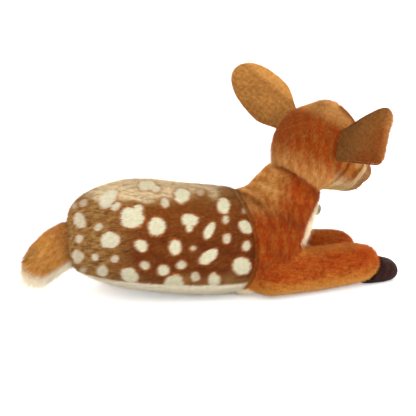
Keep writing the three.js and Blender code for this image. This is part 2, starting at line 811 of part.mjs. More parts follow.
function addHead() {
  const whole = headForm(0);
  const inner = headForm(skinThickness);
  const hole = new THREE.CylinderGeometry(fillHoleRadius, fillHoleRadius, headHeight, 18);
  hole.rotateX(Math.PI / 2);
  hole.translate(0, 0, -headHeight * fillHoleDropShare);
  let skin = whole.subtract(inner).subtract(toSolid(hole));
  let inside = headForm(skinThickness + seatGap);
  const from = new THREE.Vector3(eyeSeatShare[0] * muzzleReach, 0, eyeSeatShare[1] * headHeight);
  for (const [name, side] of [["left", 1], ["right", -1]]) {
    const eye = groupOn(whole, from, pointing(side * eyeTurn, eyeRise), 2 * headWidth);
    skin = drilled(skin, eye, eyePostRadius + seatGap, -skinThickness * 3, skinThickness);
    skin = drilled(skin, eye, eyeWidth / 2 + seatGap, 0, overrun); // the dome sinks into the pile
    skin = drilled(skin, eye, washerWidth / 2 + seatGap, -overrun, washerTop + seatGap);
    inside = drilled(inside, eye, washerWidth / 2 + seatGap, -eyePostLength - 2 * seatGap, overrun);
    eye.add(
      named(`eye_${name}`, eyeGeometry(), plastic, 0.1),
      named(`eye_washer_${name}`, washerGeometry(), filling, 0.4),
    );
    head.add(eye);
    addEar(name, side, whole);
  }
  const slab = (back, front) => box(back, front, -headWidth, headWidth, -headHeight, headHeight);
  const faceSeam = faceSeamShare * muzzleReach;
  const muzzleSeam = muzzleSeamShare * muzzleReach;
  head.add(
    named("head_back_skin", skin.intersect(slab(-headWidth, faceSeam - seamGap)), fur.rust),
    named("face_skin", skin.intersect(slab(faceSeam, muzzleSeam - seamGap)), fur.rust),
    named("muzzle_skin", skin.intersect(slab(muzzleSeam, 2 * muzzleReach)), fur.muzzle),
    named("head_filling", inside, filling),
    named("nose_pad", nosePad(), fur.hoof, 0.5),
    named("mouth_thread", mouthThread(whole), fur.hoof, 0.8),
  );
}

addHead();
addTail();
for (const side of ["right", "left"]) {
  addLeg(forelegs[side], "foreleg", side, forelegLength, forelegThickness, foreHoofLength);
  addLeg(hindLegs[side], "hind_leg", side, hindLegLength, hindLegThickness, hindHoofLength);
}

const fawn = new THREE.Group();
fawn.add(...torsoPieces(), head, tail, ...Object.values(forelegs), ...Object.values(hindLegs));

export default fawn;
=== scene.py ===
# %% [markdown]
# A stuffed fawn lies on its belly with its legs stretched out and its head turned away. It is sewn from
# panels of plush: a spotted coat, a cream belly, rust shoulders and legs, a round head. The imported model
# gives the place of every piece, so this lesson starts from it and makes the cloth, the pile and the trim.

# %% Load the frame
import math

import bmesh
import bpy
import numpy as np
from mathutils import Matrix, Vector
from mathutils.bvhtree import BVHTree
from mathutils.kdtree import KDTree


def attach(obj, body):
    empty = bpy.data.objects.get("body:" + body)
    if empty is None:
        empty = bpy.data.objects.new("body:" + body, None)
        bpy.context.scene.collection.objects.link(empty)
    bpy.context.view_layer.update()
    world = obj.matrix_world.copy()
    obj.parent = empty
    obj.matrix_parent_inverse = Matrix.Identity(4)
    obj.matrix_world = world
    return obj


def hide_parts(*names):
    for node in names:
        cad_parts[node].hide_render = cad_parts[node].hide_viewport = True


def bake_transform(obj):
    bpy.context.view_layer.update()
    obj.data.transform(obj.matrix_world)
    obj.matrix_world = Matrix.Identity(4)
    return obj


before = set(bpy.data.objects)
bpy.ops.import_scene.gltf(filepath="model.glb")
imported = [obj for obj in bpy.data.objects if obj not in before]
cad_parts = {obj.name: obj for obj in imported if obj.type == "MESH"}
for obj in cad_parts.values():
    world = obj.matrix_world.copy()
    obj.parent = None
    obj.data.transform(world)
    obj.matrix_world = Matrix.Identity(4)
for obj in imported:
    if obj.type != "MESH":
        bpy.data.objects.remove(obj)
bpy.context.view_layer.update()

MM = 0.001

# %% [markdown]
# The photograph looks at the fawn's right side, a little from behind and from above, through a long lens.
# A camera is placed by the point that it looks at, its direction and its distance, and the lens follows
# from how many picture widths the fawn fills. It is made first, because the spots are laid out through it.

# %% Camera
PHOTO = 416  # the picture is this many points wide and high
SIDE_ANGLE = math.radians(8)
DOWN_ANGLE = math.radians(15)
AIM = Vector((-7 * MM, 0, 89 * MM))
AWAY = 1500 * MM
SENSOR = 36
look = Vector((math.sin(SIDE_ANGLE) * math.cos(DOWN_ANGLE), math.cos(SIDE_ANGLE) * math.cos(DOWN_ANGLE),
               -math.sin(DOWN_ANGLE)))
camera = bpy.data.objects.new("camera", bpy.data.cameras.new("camera"))
bpy.context.scene.collection.objects.link(camera)
camera.location = AIM - look * AWAY
camera.rotation_mode = "QUATERNION"
camera.rotation_quaternion = look.to_track_quat("-Z", "Y")
camera.data.sensor_width = SENSOR
camera.data.lens = SENSOR * (AWAY / MM) / PHOTO
camera.data.clip_start, camera.data.clip_end = 0.1, 20
bpy.context.scene.camera = camera
bpy.context.view_layer.update()


def through(x, y):
    """The way out of the camera through a point of the photograph."""
    turn = camera.matrix_world.to_3x3()
    share = SENSOR / camera.data.lens / PHOTO
    return (turn @ Vector(((x - PHOTO / 2) * share, (PHOTO / 2 - y) * share, -1))).normalized()


print("the lens is", round(camera.data.lens, 1), "mm")

# %% [markdown]
# Body, head, tail and hooves start as copies of their CAD solids. Cloth shells and fillings lie a hair apart,
# so a voxel remesh melts them into one closed form, and its largest shell is the outside. Smoothing takes
# the flats away and rounds the place where a leg leaves the shoulder. The ears are built anew further on.

# %% Helpers for meshes


def of_mesh(name, mesh):
    """A new object for a mesh, at the origin."""
    piece = bpy.data.objects.new(name, mesh)
    bpy.context.scene.collection.objects.link(piece)
    return piece


def of_bmesh(name, bm):
    """A new object for a bmesh, which is freed."""
    mesh = bpy.data.meshes.new(name)
    bm.to_mesh(mesh)
    bm.free()
    return of_mesh(name, mesh)


def applied(piece):
    """The piece with its modifiers made part of its mesh."""
    graph = bpy.context.evaluated_depsgraph_get()
    graph.update()
    mesh = bpy.data.meshes.new_from_object(piece.evaluated_get(graph), preserve_all_data_layers=True,
                                           depsgraph=graph)
    old = piece.data
    piece.modifiers.clear()
    piece.data = mesh
    bpy.data.meshes.remove(old)
    return piece


def with_modifier(piece, kind, **settings):
    modifier = piece.modifiers.new(kind.lower(), kind)
    for key, value in settings.items():
        setattr(modifier, key, value)
    return applied(piece)


def places(mesh):
    """The vertices of a mesh as rows of X, Y and Z."""
    rows = np.empty(len(mesh.vertices) * 3, np.float32)
    mesh.vertices.foreach_get("co", rows)
    return rows.reshape(-1, 3).astype(float)


def set_places(mesh, rows):
    mesh.vertices.foreach_set("co", np.asarray(rows, np.float32).ravel())
    mesh.update()


print("one millimetre is", MM, "of a unit")

# %% Melt solids into one form


def outer_shell(bm):
    """Deletes all but the largest connected part of a mesh."""
    bm.verts.ensure_lookup_table()
    seen, best = set(), []
    for start in bm.verts:
        if start in seen:
            continue
        part, front = [start], [start]
        seen.add(start)
        while front:
            for edge in front.pop().link_edges:
                for vert in edge.verts:
                    if vert not in seen:
                        seen.add(vert)
                        part.append(vert)
                        front.append(vert)
        if len(part) > len(best):
            best = part
    keep = set(best)
    bmesh.ops.delete(bm, geom=[v for v in bm.verts if v not in keep], context="VERTS")


def melted(name, nodes, voxel, smoothing, swell=0):
    """One closed, smooth form round these CAD nodes. A swell moves its surface out, a negative one in."""
    bm = bmesh.new()
    for node in nodes:
        bm.from_mesh(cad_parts[node].data)
    bmesh.ops.remove_doubles(bm, verts=bm.verts, dist=1e-6)
    piece = of_bmesh(name, bm)
    # Two passes: the first closes the gaps between the solids by growing over them, the second grows back.
    for grow in (voxel * 0.5, swell - voxel * 0.5):
        with_modifier(piece, "REMESH", mode="VOXEL", voxel_size=voxel, adaptivity=0)
        bm = bmesh.new()
        bm.from_mesh(piece.data)
        outer_shell(bm)
        bm.normal_update()
        for vert in bm.verts:
            vert.co += vert.normal * grow
        bm.to_mesh(piece.data)
        bm.free()
    with_modifier(piece, "REMESH", mode="VOXEL", voxel_size=voxel, adaptivity=0)
    with_modifier(piece, "SMOOTH", factor=0.5, iterations=smoothing)
    print(name, "has", len(piece.data.polygons), "faces")
    return piece


# %% Melt the body with its legs, the head, the tail and the hooves
LEGS = ["foreleg_right", "foreleg_left", "hind_leg_right", "hind_leg_left"]


def leg_node(leg, part):
    kind, side = leg.rsplit("_", 1)
    return f"{kind}_{part}_{side}"


MELT_IN = -2  # the pile stands on the skin, so the skin is melted this far inside the solids, in millimetres
torso_nodes = ["coat_skin", "belly_panel", "shoulder_skin", "chest_bib", "body_filling", "pellet_pouch"]
leg_nodes = [leg_node(leg, part) for leg in LEGS for part in ("skin", "filling")]
hide = melted("hide", torso_nodes + leg_nodes, 3 * MM, 14, MELT_IN * MM)
skull = melted("skull", ["head_back_skin", "face_skin", "muzzle_skin", "head_filling"], 2.5 * MM, 10,
               MELT_IN * MM)
brush = melted("brush", ["tail_upper_skin", "tail_under_skin", "tail_filling"], 2 * MM, 8, MELT_IN * MM)
hooves = {leg: melted(leg_node(leg, "hoof") + "_cap", [leg_node(leg, "hoof")], 1.2 * MM, 8)
          for leg in LEGS}

# %% [markdown]
# Numbers that the fawn is laid out by: where the seams run and which way each limb lies. They are the
# part's own sizes, in millimetres, so that cloth and solids agree.

# %% Places and directions


class Place:
    """A middle and three directions of a limb or the head, in millimetres."""

    def __init__(self, middle, turn):
        self.middle = np.array(middle, float)
        self.turn = np.array(turn, float)  # its columns are the three directions

    def inside(self, rows):
        """Points as seen from the limb."""
        return (rows - self.middle) @ self.turn

    def outside(self, seen):
        """The way back from points as seen from the limb."""
        return seen @ self.turn.T + self.middle

    def way(self, *shares):
        """A direction of the limb as seen from outside."""
        return self.turn @ np.array(shares, float)


def spin(turn, tilt=0, nod=0):
    angles = [math.radians(a) for a in (turn, tilt, nod)]
    matrices = [Matrix.Rotation(a, 3, axis) for a, axis in zip(angles, "ZXY")]
    return matrices[0] @ matrices[1] @ matrices[2]


def facing(along, back):
    """Three directions from the way along a leaf and the way out of its back."""
    along, back = np.array(along), np.array(back)
    return np.stack([along, np.cross(back, along), back], axis=1)


HEAD = Place((107.2, 38.0, 139.1), spin(37, 11.5, 24))
TAIL = Place((-146.7, 0, 59.4), spin(0, 0, 147))
EAR = {
    "left": Place((81.0, 61.4, 170.2), facing((-0.633, 0.454, 0.627), (-0.466, -0.870, 0.160))),
    "right": Place((128.1, -1.2, 154.3), facing((0.374, -0.882, 0.287), (-0.907, -0.284, 0.310))),
}
EYE = {"left": Place((121.3, 86.9, 136.3), spin(0)), "right": Place((155.9, 40.9, 124.6), spin(0))}
LEG = {
    "foreleg_right": Place((53.6, -23.2, 23), spin(18)),
    "foreleg_left": Place((36.1, 52.2, 23), spin(6)),
    "hind_leg_right": Place((-100.0, 38.3, 18), spin(75)),
    "hind_leg_left": Place((-51.9, 48.7, 18), spin(38)),
}
BIB = Place((77.6, 11.6, 70.6), spin(22, 0, 52.5))
ARCH_MIDDLE = (-62.9, 56)  # of the round seam between coat and shoulders, in X and Z
ARCH_RADIUS = 98
BIB_HALF = 46.4  # half the bib's width over the chest
BIB_HALF_LOW = 22  # between the legs
BIB_COVER = (8, 4)  # how far the shoulder's longer pile hangs over its edge, low down and at the neck
BELLY_EDGE = [(-173, 39), (-138, 32.5), (-104, 28), (-54, 24), (0, 22.4), (49, 22.4)]  # X and height
FACE_SEAM = 2
MUZZLE_SEAM = 65.3
TAIL_SEAM = 5.85


def ease(value, low, high):
    """From 0 at low to 1 at high, smoothly."""
    share = np.clip((value - low) / (high - low), 0, 1)
    return share * share * (3 - 2 * share)


def arch_depth(rows):
    """How far behind the round seam a point is."""
    return ARCH_RADIUS - np.hypot(rows[:, 0] - ARCH_MIDDLE[0], rows[:, 2] - ARCH_MIDDLE[1])


def belly_depth(rows):
    """How far under the belly panel's edge a point is."""
    edge_x, edge_z = zip(*BELLY_EDGE)
    return np.interp(rows[:, 0], edge_x, edge_z) - rows[:, 2]


def bib_depth(rows):
    """How far a point is in front of the plane that the bib's side seams lie in, and within its width."""
    seen = BIB.inside(rows)
    half = BIB_HALF_LOW + (BIB_HALF - BIB_HALF_LOW) * ease(rows[:, 2], 46, 66)
    cover = BIB_COVER[0] + (BIB_COVER[1] - BIB_COVER[0]) * ease(rows[:, 2], 50, 85)
    return np.minimum(seen[:, 0] - cover, half - np.abs(seen[:, 1]))


print("the nose points along", HEAD.way(1, 0, 0).round(2))

# %% [markdown]
# Head and tail are sewn on to the real toy, while the melted forms stop a little short of each other. So the
# skin of the body is drawn up to them at the neck and at the rump, fully where it is near them and less where
# it is further away.

# %% Draw the neck up to the head, and the rump to the tail
NECK_REACH = 10  # how far from the head the neck is drawn up to it, in millimetres
RUMP_REACH = 9
TUCK_GAP = 1.0


def tree_of(piece):
    return BVHTree.FromObject(piece, bpy.context.evaluated_depsgraph_get())


def tucked(piece, other, reach, gap):
    """Draws the skin of a piece up to a gap from another piece, where they are closer than reach."""
    tree = tree_of(other)
    rows = places(piece.data)
    drawn = 0
    for i, row in enumerate(rows):
        near, _, _, far = tree.find_nearest(Vector(row), reach * MM)
        if near is not None and far > gap * MM:
            pull = (1 - gap * MM / far) * (1 - ease(far / MM, reach / 2, reach))
            rows[i] += (np.array(near) - row) * pull
            drawn += 1
    set_places(piece.data, rows)
    print(drawn, "points of the", piece.name, "are drawn up to the", other.name)


tucked(hide, skull, NECK_REACH, TUCK_GAP)
tucked(hide, brush, RUMP_REACH, TUCK_GAP)

# %% [markdown]
# The filling pushes the skin out wherever no seam holds it. Cloth simulation shows how: a coarse copy of the
# form is blown up from inside with its seams pinned, and the form follows it. How far a point may go is
# capped, because the real cloth is backed by firm stuffing and hardly stretches.

# %% Blow up the panels between their seams
PRESSURE = 4
CLOTH_FRAMES = 20
SWELL = 2.6  # the most that the skin moves, in millimetres


def normals(mesh):
    rows = np.empty(len(mesh.vertices) * 3, np.float32)
    mesh.vertices.foreach_get("normal", rows)
    return rows.reshape(-1, 3).astype(float)


def puffed(piece, seams, voxel=6):
    """Moves a piece as a simulated copy of it swells. Seams gives how far each point is from a seam."""
    copy = of_mesh(piece.name + "_cloth", piece.data.copy())
    with_modifier(copy, "REMESH", mode="VOXEL", voxel_size=voxel * MM, adaptivity=0)
    rest = places(copy.data)
    pins = copy.vertex_groups.new(name="seams")
    pins.add([int(i) for i in np.flatnonzero(seams(rest / MM) < voxel * 0.6)], 1.0, "REPLACE")
    cloth = copy.modifiers.new("cloth", "CLOTH").settings
    cloth.use_pressure, cloth.uniform_pressure_force = True, PRESSURE
    cloth.effector_weights.gravity = 0
    cloth.vertex_group_mass = "seams"
    for number in range(1, CLOTH_FRAMES + 1):
        bpy.context.scene.frame_set(number)
    moved = places(applied(copy).data) - rest
    bpy.context.scene.frame_set(1)
    bpy.data.objects.remove(copy)
    size = np.linalg.norm(moved, axis=1, keepdims=True)
    moved *= np.minimum(1, SWELL * MM / np.maximum(size, 1e-9))
    tree = KDTree(len(rest))
    for i, row in enumerate(rest):
        tree.insert(row, i)
    tree.balance()
    rows = places(piece.data)
    shift = np.zeros_like(rows)
    for i, row in enumerate(rows):
        near = tree.find_n(row, 6)
        weights = np.array([1 / (far + 0.5 * MM) for _, _, far in near])
        shift[i] = weights @ moved[[j for _, j, _ in near]] / weights.sum()
    set_places(piece.data, rows + shift)
    mean = float(np.linalg.norm(shift, axis=1).mean() / MM)
    print(piece.name, "swelled by", round(mean, 2), "mm on average")


def body_seams(rows):
    """How far each point of the body is from a seam, or from the floor that it lies on."""
    flank = np.where(arch_depth(rows) > 0, np.abs(belly_depth(rows)), 50)
    return np.minimum.reduce([np.abs(arch_depth(rows)), np.abs(bib_depth(rows)), flank, rows[:, 2]])


def head_seams(rows):
    seen = HEAD.inside(rows)[:, 0]
    return np.minimum(np.abs(seen - FACE_SEAM), np.abs(seen - MUZZLE_SEAM))


puffed(hide, body_seams)
puffed(skull, head_seams)

# %% [markdown]
# In the photograph the back and the crown stand a little higher than the melted skin. Both are raised, and
# the lift fades out down the flanks and round the head.

# %% Plump the back and the crown
BACK_LIFT = 2.5
CROWN_LIFT = 6.5
CROWN_WAY = np.array([0.83, 0.0, 0.56])  # up and forwards
rows = places(hide.data) / MM
rows[:, 2] += BACK_LIFT * ease(rows[:, 2], 60, 104) * ease(-rows[:, 0], -30, 10)
set_places(hide.data, rows * MM)
rows, out = places(skull.data) / MM, normals(skull.data)
set_places(skull.data, (rows + CROWN_LIFT * out * ease(out @ CROWN_WAY, 0.35, 0.95)[:, None]) * MM)
print("the body is", round(float(places(hide.data)[:, 2].max() / MM)), "mm high")

# %% [markdown]
# The melted body is one skin, but the toy is sewn from panels. Each face is given to the panel that the
# seams put it in, or to the leg whose solid is nearest. Then the vertices along a seam are slid on to it,
# and the skin is drawn in there, as thread does on the real toy.

# %% Share the skin out among the panels
SEAM_DEPTH = 1.8  # how far thread draws the cloth in, in millimetres
SEAM_REACH = 6
BELLY_DRAW = 0.4  # the belly's seam is drawn in by this share of the others' depth
FLOOR_REACH = 4  # no seam is drawn in this near the floor


def slide_on_to(rows, out, depth, chosen, most=2.2):
    """Slides the chosen vertices along the skin until depth is zero there."""
    here = rows[chosen]
    step = 0.2
    grown = np.stack([depth(here + step * np.eye(3)[k]) - depth(here) for k in range(3)], axis=1) / step
    grown -= out[chosen] * (grown * out[chosen]).sum(axis=1, keepdims=True)
    size = np.maximum((grown**2).sum(axis=1, keepdims=True), 0.05)
    move = -depth(here)[:, None] * grown / size
    reach = np.linalg.norm(move, axis=1, keepdims=True)
    rows[chosen] = here + move * np.minimum(1, most / np.maximum(reach, 1e-6))


def shape_of(node):
    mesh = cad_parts[node].data
    return [v.co.copy() for v in mesh.vertices], [tuple(p.vertices) for p in mesh.polygons]


def nearest_leg(rows):
    """The leg whose skin is nearest to each point, or nothing where the torso is nearer."""
    trees = {}
    for leg in LEGS:
        trees[leg] = BVHTree.FromPolygons(*shape_of(leg_node(leg, "skin")))
    torso = [BVHTree.FromPolygons(*shape_of(node)) for node in torso_nodes[:4]]
    found = []
    for row in rows * MM:
        near = min(tree.find_nearest(row)[3] for tree in torso)
        leg = min(LEGS, key=lambda name: trees[name].find_nearest(row)[3])
        found.append(leg if trees[leg].find_nearest(row)[3] < near else "")
    return found


def body_panels(mesh):
    """The name of the panel of each face of the melted body."""
    middles = np.array([p.center for p in mesh.polygons]) / MM
    behind, low, front = arch_depth(middles) > 0, belly_depth(middles) > 0, bib_depth(middles) > 0
    names = np.where(behind, np.where(low, "belly", "coat"), np.where(front, "bib", "shoulder"))
    legs = np.array(nearest_leg(middles))
    return np.where(legs != "", legs, names)


def border(mesh, names, one, other):
    """The vertices that touch faces of both panels."""
    sides = {one: set(), other: set()}
    for polygon in mesh.polygons:
        if names[polygon.index] in sides:
            sides[names[polygon.index]].update(polygon.vertices)
    return np.array(sorted(sides[one] & sides[other]), int)


panel_names = body_panels(hide.data)
rows, out = places(hide.data) / MM, normals(hide.data)
for one, other, depth in [("coat", "shoulder", arch_depth), ("belly", "shoulder", arch_depth),
                          ("coat", "belly", belly_depth), ("bib", "shoulder", bib_depth)]:
    chosen = border(hide.data, panel_names, one, other)
    if len(chosen):
        slide_on_to(rows, out, depth, chosen)
near_seam = np.minimum(np.abs(arch_depth(rows)), np.abs(bib_depth(rows)))
near_belly = np.where(arch_depth(rows) > 0, np.abs(belly_depth(rows)), SEAM_REACH)
draw = np.maximum(1 - near_seam / SEAM_REACH, 0) ** 2
draw += BELLY_DRAW * np.maximum(1 - near_belly / SEAM_REACH, 0) ** 2
on_leg = np.zeros(len(rows), bool)
for polygon in hide.data.polygons:
    if panel_names[polygon.index] in LEG:
        on_leg[list(polygon.vertices)] = True
draw[on_leg | (rows[:, 2] < FLOOR_REACH)] = 0
set_places(hide.data, (rows - out * draw[:, None] * SEAM_DEPTH) * MM)
print({name: int((panel_names == name).sum()) for name in sorted(set(panel_names))})

# %% [markdown]
# A panel is cut out with one or two rings of faces more than its own, sunk under its neighbour like the
# seam allowance of the real cloth. A wall thickness closes each panel.

# %% Cut out the panels
ALLOWANCE_SINK = 1.3
CLOTH = 1.4


def cut_panel(name, source, chosen, rings=2):
    """A new piece of the chosen faces of a mesh, with a sunk allowance round them."""
    mesh = source.data
    own = set(np.flatnonzero(chosen))
    own_verts = {v for i in own for v in mesh.polygons[i].vertices}
    at_vert = {}
    for polygon in mesh.polygons:
        for v in polygon.vertices:
            at_vert.setdefault(v, []).append(polygon.index)
    depth = {v: 0 for v in own_verts}
    faces = set(own)
    for ring in range(1, rings + 1):
        for v in list(depth):
            faces.update(at_vert[v])
        for i in faces:
            for v in mesh.polygons[i].vertices:
                depth.setdefault(v, ring)
    bm = bmesh.new()
    bm.from_mesh(mesh)
    bm.faces.ensure_lookup_table()
    bm.verts.ensure_lookup_table()
    pile = bm.verts.layers.float.new("pile")
    for vert in bm.verts:
        ring = depth.get(vert.index, 0)
        vert[pile] = 0.0 if ring else 1.0
        vert.co -= vert.normal * ring * ALLOWANCE_SINK * MM
    bmesh.ops.delete(bm, geom=[f for f in bm.faces if f.index not in faces], context="FACES")
    return of_bmesh(name, bm)


print("a panel's wall is", CLOTH, "mm thick")

# %% [markdown]
# Plush is a dense pile of soft threads. Here each thread, or tuft of a few, is a thin blade of three or
# five triangles. Geometry Nodes scatters blades over the cloth, leans each along the way the pile is
# combed, and ruffles them. Real geometry keeps its soft edge from every side, which a bump map can't give.

# %% Helpers for node trees


def wired(tree, kind, links=None, **settings):
    """A new node with its settings, and its inputs linked or set."""
    node = tree.nodes.new(kind)
    for key, value in settings.items():
        setattr(node, key, value)
    for key, value in (links or {}).items():
        socket = node.inputs[key]
        if isinstance(value, bpy.types.NodeSocket):
            tree.links.new(value, socket)
        else:
            socket.default_value = value
    return node


def out_of(node, name):
    return next(s for s in node.outputs if s.name == name and s.enabled)


def computed(tree, kind, *values, **settings):
    """The result of a node that calculates, with its inputs linked or set in their order."""
    node = wired(tree, kind, **settings)
    for socket, value in zip([s for s in node.inputs if s.enabled], values):
        if isinstance(value, bpy.types.NodeSocket):
            tree.links.new(value, socket)
        else:
            socket.default_value = value
    return next(s for s in node.outputs if s.enabled)


def sums(tree, operation, *values):
    return computed(tree, "ShaderNodeMath", *values, operation=operation)


def vector_math(tree, operation, *values):
    return computed(tree, "ShaderNodeVectorMath", *values, operation=operation)


def scaled(tree, vector, share):
    return vector_math(tree, "SCALE", vector, share)


def between(tree, share, one, other):
    """A colour between two others."""
    return computed(tree, "ShaderNodeMix", share, one, other, data_type="RGBA")


print("helpers for node trees: wired, out_of, computed, sums, vector_math, scaled and between")

# %% The pile as a node group
LEAST_PILE = 0.35  # where the cloth's share of pile is lower than this, no thread grows
FLOOR_GAP = 0.4  # the floor flattens the pile under the fawn to this height, in millimetres


def make_pile_group():
    tree = bpy.data.node_groups.new("pile", "GeometryNodeTree")
    face = tree.interface
    face.new_socket("Cloth", in_out="INPUT", socket_type="NodeSocketGeometry")
    for name, kind in [("Density", "Float"), ("Length", "Float"), ("Width", "Float"), ("Lift", "Float"),
                       ("Droop", "Float"), ("Ruffle", "Float"), ("Swirl", "Float"), ("Steps", "Int"),
                       ("Seed", "Int")]:
        face.new_socket(name, in_out="INPUT", socket_type=f"NodeSocket{kind}")
    face.new_socket("Pile", in_out="OUTPUT", socket_type="NodeSocketGeometry")
    given = tree.nodes.new("NodeGroupInput").outputs

    def named(kind, name):
        return out_of(wired(tree, "GeometryNodeInputNamedAttribute", {"Name": name}, data_type=kind),
                      "Attribute")

    def stored(geometry, name, kind, value):
        node = tree.nodes.new("GeometryNodeStoreNamedAttribute")
        node.data_type, node.domain = kind, "POINT"
        tree.links.new(geometry, node.inputs["Geometry"])
        node.inputs["Name"].default_value = name
        socket = next(s for s in node.inputs if s.name == "Value" and s.enabled)
        tree.links.new(value, socket)
        return node.outputs["Geometry"]

    def random_of(kind, low, high, seed):
        node = tree.nodes.new("FunctionNodeRandomValue")
        node.data_type = kind
        lows = next(s for s in node.inputs if s.name == "Min" and s.enabled)
        highs = next(s for s in node.inputs if s.name == "Max" and s.enabled)
        lows.default_value, highs.default_value = low, high
        tree.links.new(sums(tree, "ADD", given["Seed"], seed), node.inputs["Seed"])
        return out_of(node, "Value")

    pile = named("FLOAT", "pile")
    density = sums(tree, "MULTIPLY", given["Density"], sums(tree, "GREATER_THAN", pile, LEAST_PILE))
    scatter = wired(tree, "GeometryNodeDistributePointsOnFaces", {"Mesh": given["Cloth"]},
                    distribute_method="RANDOM")
    tree.links.new(density, next(s for s in scatter.inputs if s.name == "Density" and s.enabled))
    tree.links.new(given["Seed"], scatter.inputs["Seed"])
    normal = scatter.outputs["Normal"]
    position = wired(tree, "GeometryNodeInputPosition").outputs[0]
    points = stored(scatter.outputs["Points"], "root", "FLOAT_VECTOR", position)
    points = stored(points, "under", "FLOAT_VECTOR", normal)
    points = stored(points, "strand", "FLOAT", random_of("FLOAT", 0.0, 1.0, 1))

    noise = wired(tree, "ShaderNodeTexNoise", {"Vector": position, "Scale": 80.0, "Detail": 3.0,
                                               "Roughness": 0.65}, noise_dimensions="3D")
    swirl = vector_math(tree, "SUBTRACT", out_of(noise, "Color"), (0.5, 0.5, 0.5))
    lean = vector_math(tree, "ADD", named("FLOAT_VECTOR", "comb"), scaled(tree, normal, given["Lift"]))
    lean = vector_math(tree, "ADD", lean, scaled(tree, random_of("FLOAT_VECTOR", (-1, -1, -1), (1, 1, 1), 2),
                                                 given["Ruffle"]))
    lean = vector_math(tree, "ADD", lean, scaled(tree, swirl, given["Swirl"]))
    along = wired(tree, "FunctionNodeAlignRotationToVector", {"Vector": lean}, axis="Y")
    flat = wired(tree, "FunctionNodeAlignRotationToVector", {"Rotation": along.outputs[0], "Vector": normal},
                 axis="Z", pivot_axis="Y")
    length = sums(tree, "MULTIPLY", named("FLOAT", "pile"), random_of("FLOAT", 0.55, 1.2, 3))
    size = wired(tree, "ShaderNodeCombineXYZ", {"X": 1.0, "Y": length, "Z": length})

    blade = wired(tree, "GeometryNodeMeshGrid", {"Size X": 1.0, "Size Y": 1.0, "Vertices X": 2,
                                                 "Vertices Y": given["Steps"]})
    share = sums(tree, "ADD", wired(tree, "ShaderNodeSeparateXYZ", {"Vector": position}).outputs["Y"], 0.5)
    grid = stored(blade.outputs["Mesh"], "along", "FLOAT", share)
    here = named("FLOAT", "along")
    x = wired(tree, "ShaderNodeSeparateXYZ", {"Vector": position}).outputs["X"]
    narrow = sums(tree, "SUBTRACT", 1.0, sums(tree, "POWER", here, 1.6))
    x = sums(tree, "MULTIPLY", sums(tree, "MULTIPLY", x, narrow), given["Width"])
    y = sums(tree, "MULTIPLY", here, given["Length"])
    droop = sums(tree, "MULTIPLY", sums(tree, "MULTIPLY", here, here), given["Droop"])
    z = sums(tree, "MULTIPLY", sums(tree, "MULTIPLY", droop, given["Length"]), -1.0)
    shape = wired(tree, "ShaderNodeCombineXYZ", {"X": x, "Y": y, "Z": z}).outputs[0]
    blade = wired(tree, "GeometryNodeSetPosition", {"Geometry": grid, "Position": shape}).outputs[0]
    blade = wired(tree, "GeometryNodeMergeByDistance", {"Geometry": blade, "Distance": 1e-6}).outputs[0]

    spread = wired(tree, "GeometryNodeInstanceOnPoints",
                   {"Points": points, "Instance": blade, "Rotation": flat.outputs[0],
                    "Scale": size.outputs[0]}).outputs[0]
    real = wired(tree, "GeometryNodeRealizeInstances", {"Geometry": spread}).outputs[0]
    split = wired(tree, "ShaderNodeSeparateXYZ", {"Vector": position}).outputs
    above = sums(tree, "MAXIMUM", split["Z"], FLOOR_GAP * MM)
    pressed = wired(tree, "ShaderNodeCombineXYZ", {"X": split["X"], "Y": split["Y"], "Z": above}).outputs[0]
    real = wired(tree, "GeometryNodeSetPosition", {"Geometry": real, "Position": pressed}).outputs[0]
    end = tree.nodes.new("NodeGroupOutput")
    tree.links.new(real, end.inputs["Pile"])
    return tree


pile_group = make_pile_group()
print("the pile group has", len(pile_group.nodes), "nodes")

# %% [markdown]
# The plush is printed on its face, so a thread takes its colour from where it lies. A function per panel
# says the colour at a place. Mottle is a sum of waves in many directions, which gives soft uneven patches
# that are the same at each run.

# %% Colour at a place


def dye(red, green, blue):
    """A colour as it is seen on a screen, from 0 to 255, made linear."""
    return np.array([(v / 255) ** 2.2 for v in (red, green, blue)])


def mottle(rows, size, seed):
    """Soft uneven patches of about this size in millimetres, from -1 to 1."""
    chance = np.random.default_rng(seed)
    total = np.zeros(len(rows))
    for octave, weight in ((1, 0.6), (2, 0.4), (4.3, 0.25)):
        for _ in range(5):
            way = chance.normal(size=3)
            way *= 2 * math.pi * octave / size / np.linalg.norm(way)
            total += weight / 2.2 * np.sin(rows @ way + chance.uniform(0, 2 * math.pi))
    return np.clip(total, -1, 1)


def blend_dyes(base, *layers):
    """Lays colours over a base one, each by its own share at each point."""
    colour = np.array(base, float)
    if colour.ndim == 1:
        colour = np.tile(colour, (len(layers[0][1]), 1))
    for dyed, share in layers:
        share = np.clip(share, 0, 1)[:, None]
        colour = colour * (1 - share) + np.array(dyed) * share
    return colour


DARK = dye(108, 46, 12)
UMBER = dye(132, 70, 24)
TAN = dye(180, 136, 78)
STRAW = dye(240, 218, 174)
HALO = dye(176, 92, 24)
CREAM = dye(230, 225, 194)
MILK = dye(246, 236, 212)
RUST = dye(168, 62, 8)
DEEP_RUST = dye(142, 48, 6)
GOLD = dye(210, 140, 60)
PALE_GOLD = dye(232, 182, 112)
SMOKE = dye(104, 68, 34)
FAWN = dye(255, 230, 178)
SEAM_SHADE = dye(70, 32, 12)
SEAM_LINE = 0.4  # half the width of the line of painted shade where the pile parts, in millimetres
SEAM_FADE = 2  # and how far it fades out beside that
BACK_HEIGHT = 112  # of the coat, over the floor
print("the coat's ground colour is", np.round(DARK, 3))
